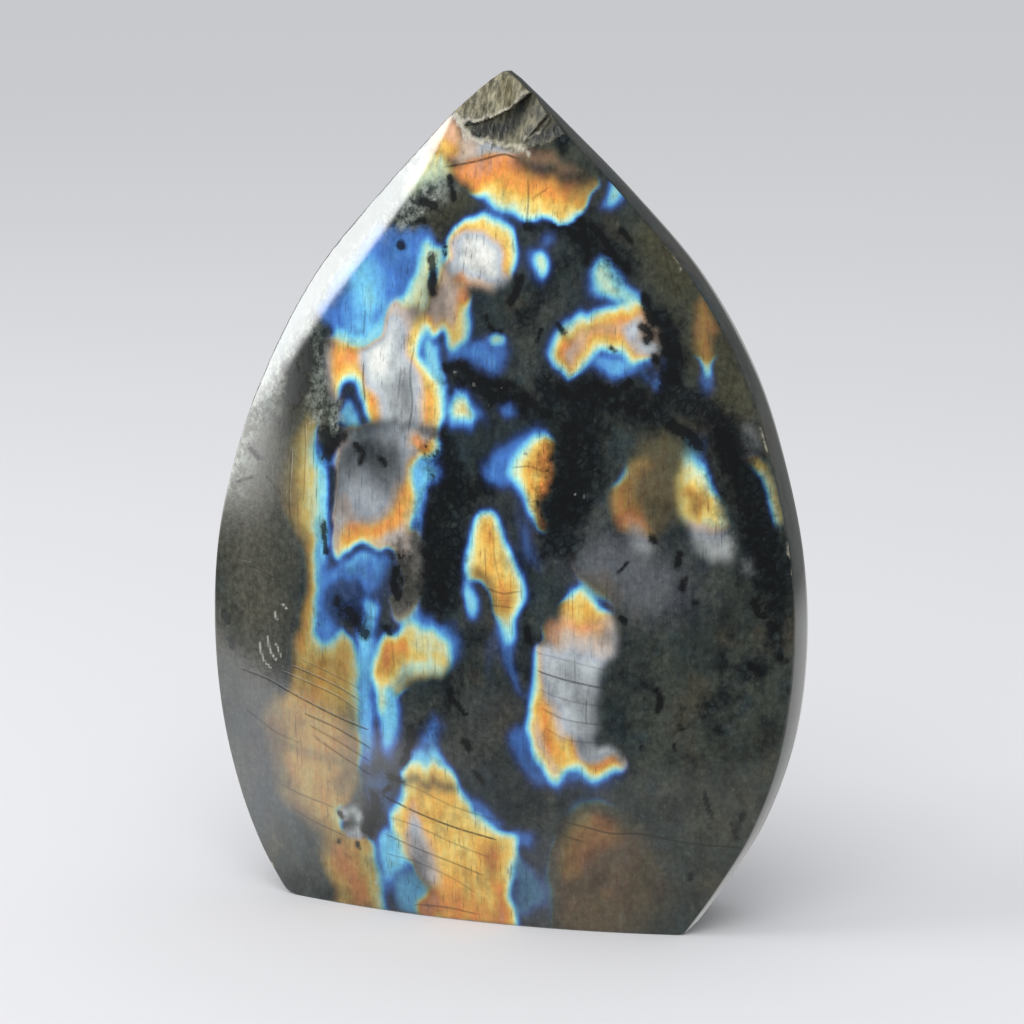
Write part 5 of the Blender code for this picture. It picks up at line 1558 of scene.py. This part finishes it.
def polished_feldspar():
    """The polished faces: rock, flash, ore, cracks and scuffs, with raw rock at the broken tip."""
    material, tree, shader, position, ground = stone_material("polished_feldspar")
    tones = ("olive", "haze", "warm", "frost_and_sheen", "dark", "tint")
    feed(tree, ground, {name.capitalize(): drawn(tree, name) for name in tones})
    colour = flash_over(tree, position, ground)
    # ore grains with ragged rims and a sooty halo, and small ones scattered through the stone
    rag = grain(tree, position, (0.95, 0.95, 0.8), 21.0, detail=6.0, roughness=0.68)
    ore_edge = times_plus(tree, drawn(tree, "ink"), 1.12, times_plus(tree, rag, 2.2, -1.1))
    soot = times(tree, smooth_step(tree, ore_edge, 0.0, 0.6, top=0.6),
                 smooth_step(tree, drawn(tree, "ink"), 0.0, 0.3))
    ore = smooth_step(tree, ore_edge, 0.46, 0.68, top=0.92)
    sprinkle = grain(tree, position, (0.45, 0.45, 0.38), 22.0, detail=7.0, roughness=0.70)
    sprinkled = smooth_step(tree, sprinkle, 0.66, 0.72, top=0.75)
    dirt = maths(tree, "MAXIMUM", maths(tree, "MAXIMUM", ore, soot), sprinkled)
    colour = blend_colour(tree, dirt, colour, rgb(11, 14, 16))
    # hairline cracks
    broken_up = smooth_step(tree, ground.outputs["Grain"], 0.36, 0.52, bottom=0.35)
    line = smooth_step(tree, maths(tree, "ABSOLUTE", drawn(tree, "crack")), 0.21, 0.06)
    crack = times(tree, times(tree, line, drawn(tree, "crack_strength")), broken_up)
    colour = tinged(tree, colour, rgb(34, 30, 26), crack, 0.80)
    # scuffs, the ground shoulder's satin finish with a painted highlight in its colour, the broken tip, and
    # the whitish bruises, partly painted highlights on the tip's steps
    scratched = smooth_step(tree, times_plus(tree, rag, 0.4, drawn(tree, "scuff")), 0.62, 0.9)
    colour = tinged(tree, colour, rgb(184, 184, 174), scratched, 0.40)
    shoulder = drawn(tree, "shoulder")
    # the shoulder's colour is lightened for its satin finish and also as a painted highlight where it faces
    # the light
    colour = tinged(tree, colour, rgb(176, 186, 184), shoulder, 0.3)
    splinters = grain(tree, position, (1.5, 1.5, 0.24), 31.0, detail=5.0, roughness=0.65)
    broken = drawn(tree, "broken")
    colour = blend_colour(tree, broken, colour, cleaved_rock(tree, splinters))
    # whitish bruises of crushed rock and chips, and painted highlights along the lit step edges of the tip
    chalk_and_glint_edge = times_plus(tree, rag, 2.2, maths(tree, "ADD", drawn(tree, "chalk_and_glint"), -1.3))
    bruise_and_glint = times(tree, smooth_step(tree, chalk_and_glint_edge, 0.05, 0.85),
                   smooth_step(tree, drawn(tree, "chalk_and_glint"), 0.0, 0.25))
    colour = tinged(tree, colour, rgb(198, 192, 172), bruise_and_glint, 0.72)
    roughness = times_plus(tree, ground.outputs["Grain"], 0.10, 0.03)
    for share, dullness in ((scratched, 0.4), (broken, 0.5), (ore, 0.2), (bruise_and_glint, 0.6), (shoulder, 0.16)):
        roughness = maths(tree, "MAXIMUM", roughness, times(tree, share, dullness))
    height = times_plus(tree, ground.outputs["Grain"], 0.10, times(tree, crack, -0.14))
    height = times_plus(tree, times(tree, splinters, broken), 3.2, height)
    height = times_plus(tree, bruise_and_glint, 0.8, height)
    bump = add(tree, "Bump", {"Height": height, "Distance": polish_relief * MM, "Strength": 1.0})
    feed(tree, shader, {"Base Color": colour, "Roughness": roughness, "Normal": bump.outputs[0]})
    return material


def sawn_feldspar():
    """The foot: matt, grey, with the saw's fine arcs."""
    material, tree, shader, position, ground = stone_material("sawn_feldspar")
    arcs = add(tree, "TexWave", {"Vector": position, "Scale": 0.35, "Distortion": 1.2, "Detail": 2.0},
               wave_type="RINGS", rings_direction="Z").outputs["Fac"]
    colour = blend_colour(tree, 0.45, ground.outputs["Color"], rgb(128, 130, 124))
    colour = tinged(tree, colour, rgb(168, 168, 160), arcs, 0.16)
    height = times_plus(tree, ground.outputs["Grain"], 0.6, arcs)
    bump = add(tree, "Bump", {"Height": height, "Distance": sawn_relief * MM, "Strength": 0.8})
    feed(tree, shader, {"Base Color": colour, "Roughness": 0.62, "Normal": bump.outputs[0]})
    return material


stone = bpy.data.objects.new("polished_stone", stone_mesh)
bpy.context.scene.collection.objects.link(stone)
stone_mesh.materials.append(polished_feldspar())
stone_mesh.materials.append(sawn_feldspar())
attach(stone, "root")
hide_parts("stone")

# The set
# A wide pale floor and plain soft studio light. The stone is polished, so what it mirrors
# counts: a tall bright card at its left, the lit floor behind and beside it, and quiet grey.
# The lengths of the set and the camera are in metres.
floor_reach = 3.0
floor_middle = (0, 0.6, 0)
lit_floor_front = -0.070
lit_floor_back = 0.21
lit_floor_left = -0.052
lit_floor_right = -0.020
front_edge_half = 0.004
back_edge_half = 0.05
floor_light_left = 2.4
floor_light_right = 0.45
floor_light_least = 0.12
far_floor_share = 0.15
card_azimuth = 68.0
card_distance = 0.36
card_width = 0.36
card_height = 0.34
card_light = 7.0
# the card's light starts and grows between these heights, and falls off between these shares of its width
card_foot_fade = (-0.020, 0.040)
card_rise = (0.07, 0.12)
card_rise_top = 1.5
card_side_fade = (0.845, 0.64)
sky_colour = (0.97, 0.98, 1.0, 1.0)
sky_light = 0.80
mirrored_sky_light = 0.16


def set_material(name):
    """An empty material, with the place of the point that is shaded."""
    material = bpy.data.materials.new(name)
    material.use_nodes = True
    tree = material.node_tree
    tree.nodes.clear()
    at = add(tree, "SeparateXYZ", {0: add(tree, "NewGeometry").outputs["Position"]}).outputs
    return material, tree, at


def pale_floor():
    """Matt and pale. In the stone's mirror it is lit behind the stone, most of all at the left."""
    bpy.ops.mesh.primitive_plane_add(size=2 * floor_reach, location=floor_middle)
    floor = bpy.context.object
    floor.name = "floor"
    material, tree, at = set_material("pale_floor")
    paint = add(tree, "BsdfDiffuse", {"Color": rgb(222, 222, 224)})
    behind = smooth_step(tree, at["Y"], lit_floor_front - front_edge_half, lit_floor_front + front_edge_half)
    from_left = smooth_step(tree, at["X"], lit_floor_right, lit_floor_left,
                            bottom=floor_light_right, top=floor_light_left)
    nearby = smooth_step(tree, at["Y"], lit_floor_back - back_edge_half, lit_floor_back + back_edge_half,
                         bottom=1.0, top=far_floor_share)
    lit = times_plus(tree, times(tree, behind, nearby), from_left, floor_light_least)
    mirrored = add(tree, "Emission", {"Strength": lit})
    is_mirrored = add(tree, "LightPath").outputs["Is Glossy Ray"]
    shader = add(tree, "MixShader", {0: is_mirrored, 1: paint.outputs[0], 2: mirrored.outputs[0]})
    add(tree, "OutputMaterial", {"Surface": shader.outputs[0]})
    floor.data.materials.append(material)


def bright_card():
    """Upright card at the left that only the polish sees, dim along its foot and its right side."""
    angle = math.radians(card_azimuth)
    place = Vector((-math.sin(angle), -math.cos(angle), 0)) * card_distance
    bpy.ops.mesh.primitive_plane_add(size=1, location=place + Vector((0, 0, card_height / 2)))
    card = bpy.context.object
    card.name = "bright_card"
    card.scale = (card_width, card_height, 1)
    card.rotation_euler = (math.pi / 2, 0, -angle)
    card.visible_camera = False
    card.visible_diffuse = False
    card.visible_shadow = False
    material, tree, at = set_material("bright_card")
    side = add(tree, "SeparateXYZ", {0: add(tree, "TexCoord").outputs["Generated"]}).outputs["X"]
    upwards = smooth_step(tree, at["Z"], *card_foot_fade)
    sideways = smooth_step(tree, side, *card_side_fade, top=card_light)
    higher = smooth_step(tree, at["Z"], *card_rise, bottom=1.0, top=card_rise_top)
    strength = times(tree, times(tree, upwards, sideways), higher)
    glow = add(tree, "Emission", {"Strength": strength})
    add(tree, "OutputMaterial", {"Surface": glow.outputs[0]})
    card.data.materials.append(material)


def soft_light(name, place, target, size, power):
    """A rectangular light, turned to its target, that neither the camera nor the polish sees."""
    data = bpy.data.lights.new(name, "AREA")
    data.shape = "RECTANGLE"
    data.size, data.size_y = size
    data.energy = power
    light = bpy.data.objects.new(name, data)
    light.location = place
    light.rotation_euler = (Vector(target) - Vector(place)).to_track_quat("-Z", "Y").to_euler()
    light.visible_camera = False
    light.visible_glossy = False
    bpy.context.scene.collection.objects.link(light)


def studio_world():
    """Even pale light for the floor and the stone, and a quiet grey for what the polish mirrors."""
    world = bpy.data.worlds.new("studio")
    world.use_nodes = True
    tree = world.node_tree
    tree.nodes.clear()
    rays = add(tree, "LightPath").outputs
    level = smooth_step(tree, rays["Is Glossy Ray"], 0.0, 1.0, bottom=sky_light, top=mirrored_sky_light)
    background = add(tree, "Background", {"Color": sky_colour, "Strength": level})
    add(tree, "OutputWorld", {"Surface": background.outputs[0]})
    bpy.context.scene.world = world


pale_floor()
bright_card()
studio_world()
soft_light("left_window", (-0.62, -0.26, 0.30), (0, 0, 0.06), (0.42, 0.55), 2.4)
soft_light("high_front", (0.10, -0.62, 0.72), (0, 0, 0.05), (0.6, 0.5), 3.0)

# The camera
# It stands to the right of the stone's middle, a little above it, and looks slightly down.
camera_place = (0.1410, -0.4272, 0.1420)
camera_target = (-0.0004, 0.0, 0.05185)
focal_pixels = 3529.0
picture_pixels = 1024
sensor_width = 36.0
camera_data = bpy.data.cameras.new("camera")
camera_data.sensor_width = sensor_width
camera_data.lens = focal_pixels / picture_pixels * sensor_width
camera = bpy.data.objects.new("camera", camera_data)
camera.location = camera_place
camera.rotation_euler = (Vector(camera_target) - Vector(camera_place)).to_track_quat("-Z", "Y").to_euler()
bpy.context.scene.collection.objects.link(camera)
bpy.context.scene.camera = camera
bpy.context.scene.view_settings.view_transform = "Standard"
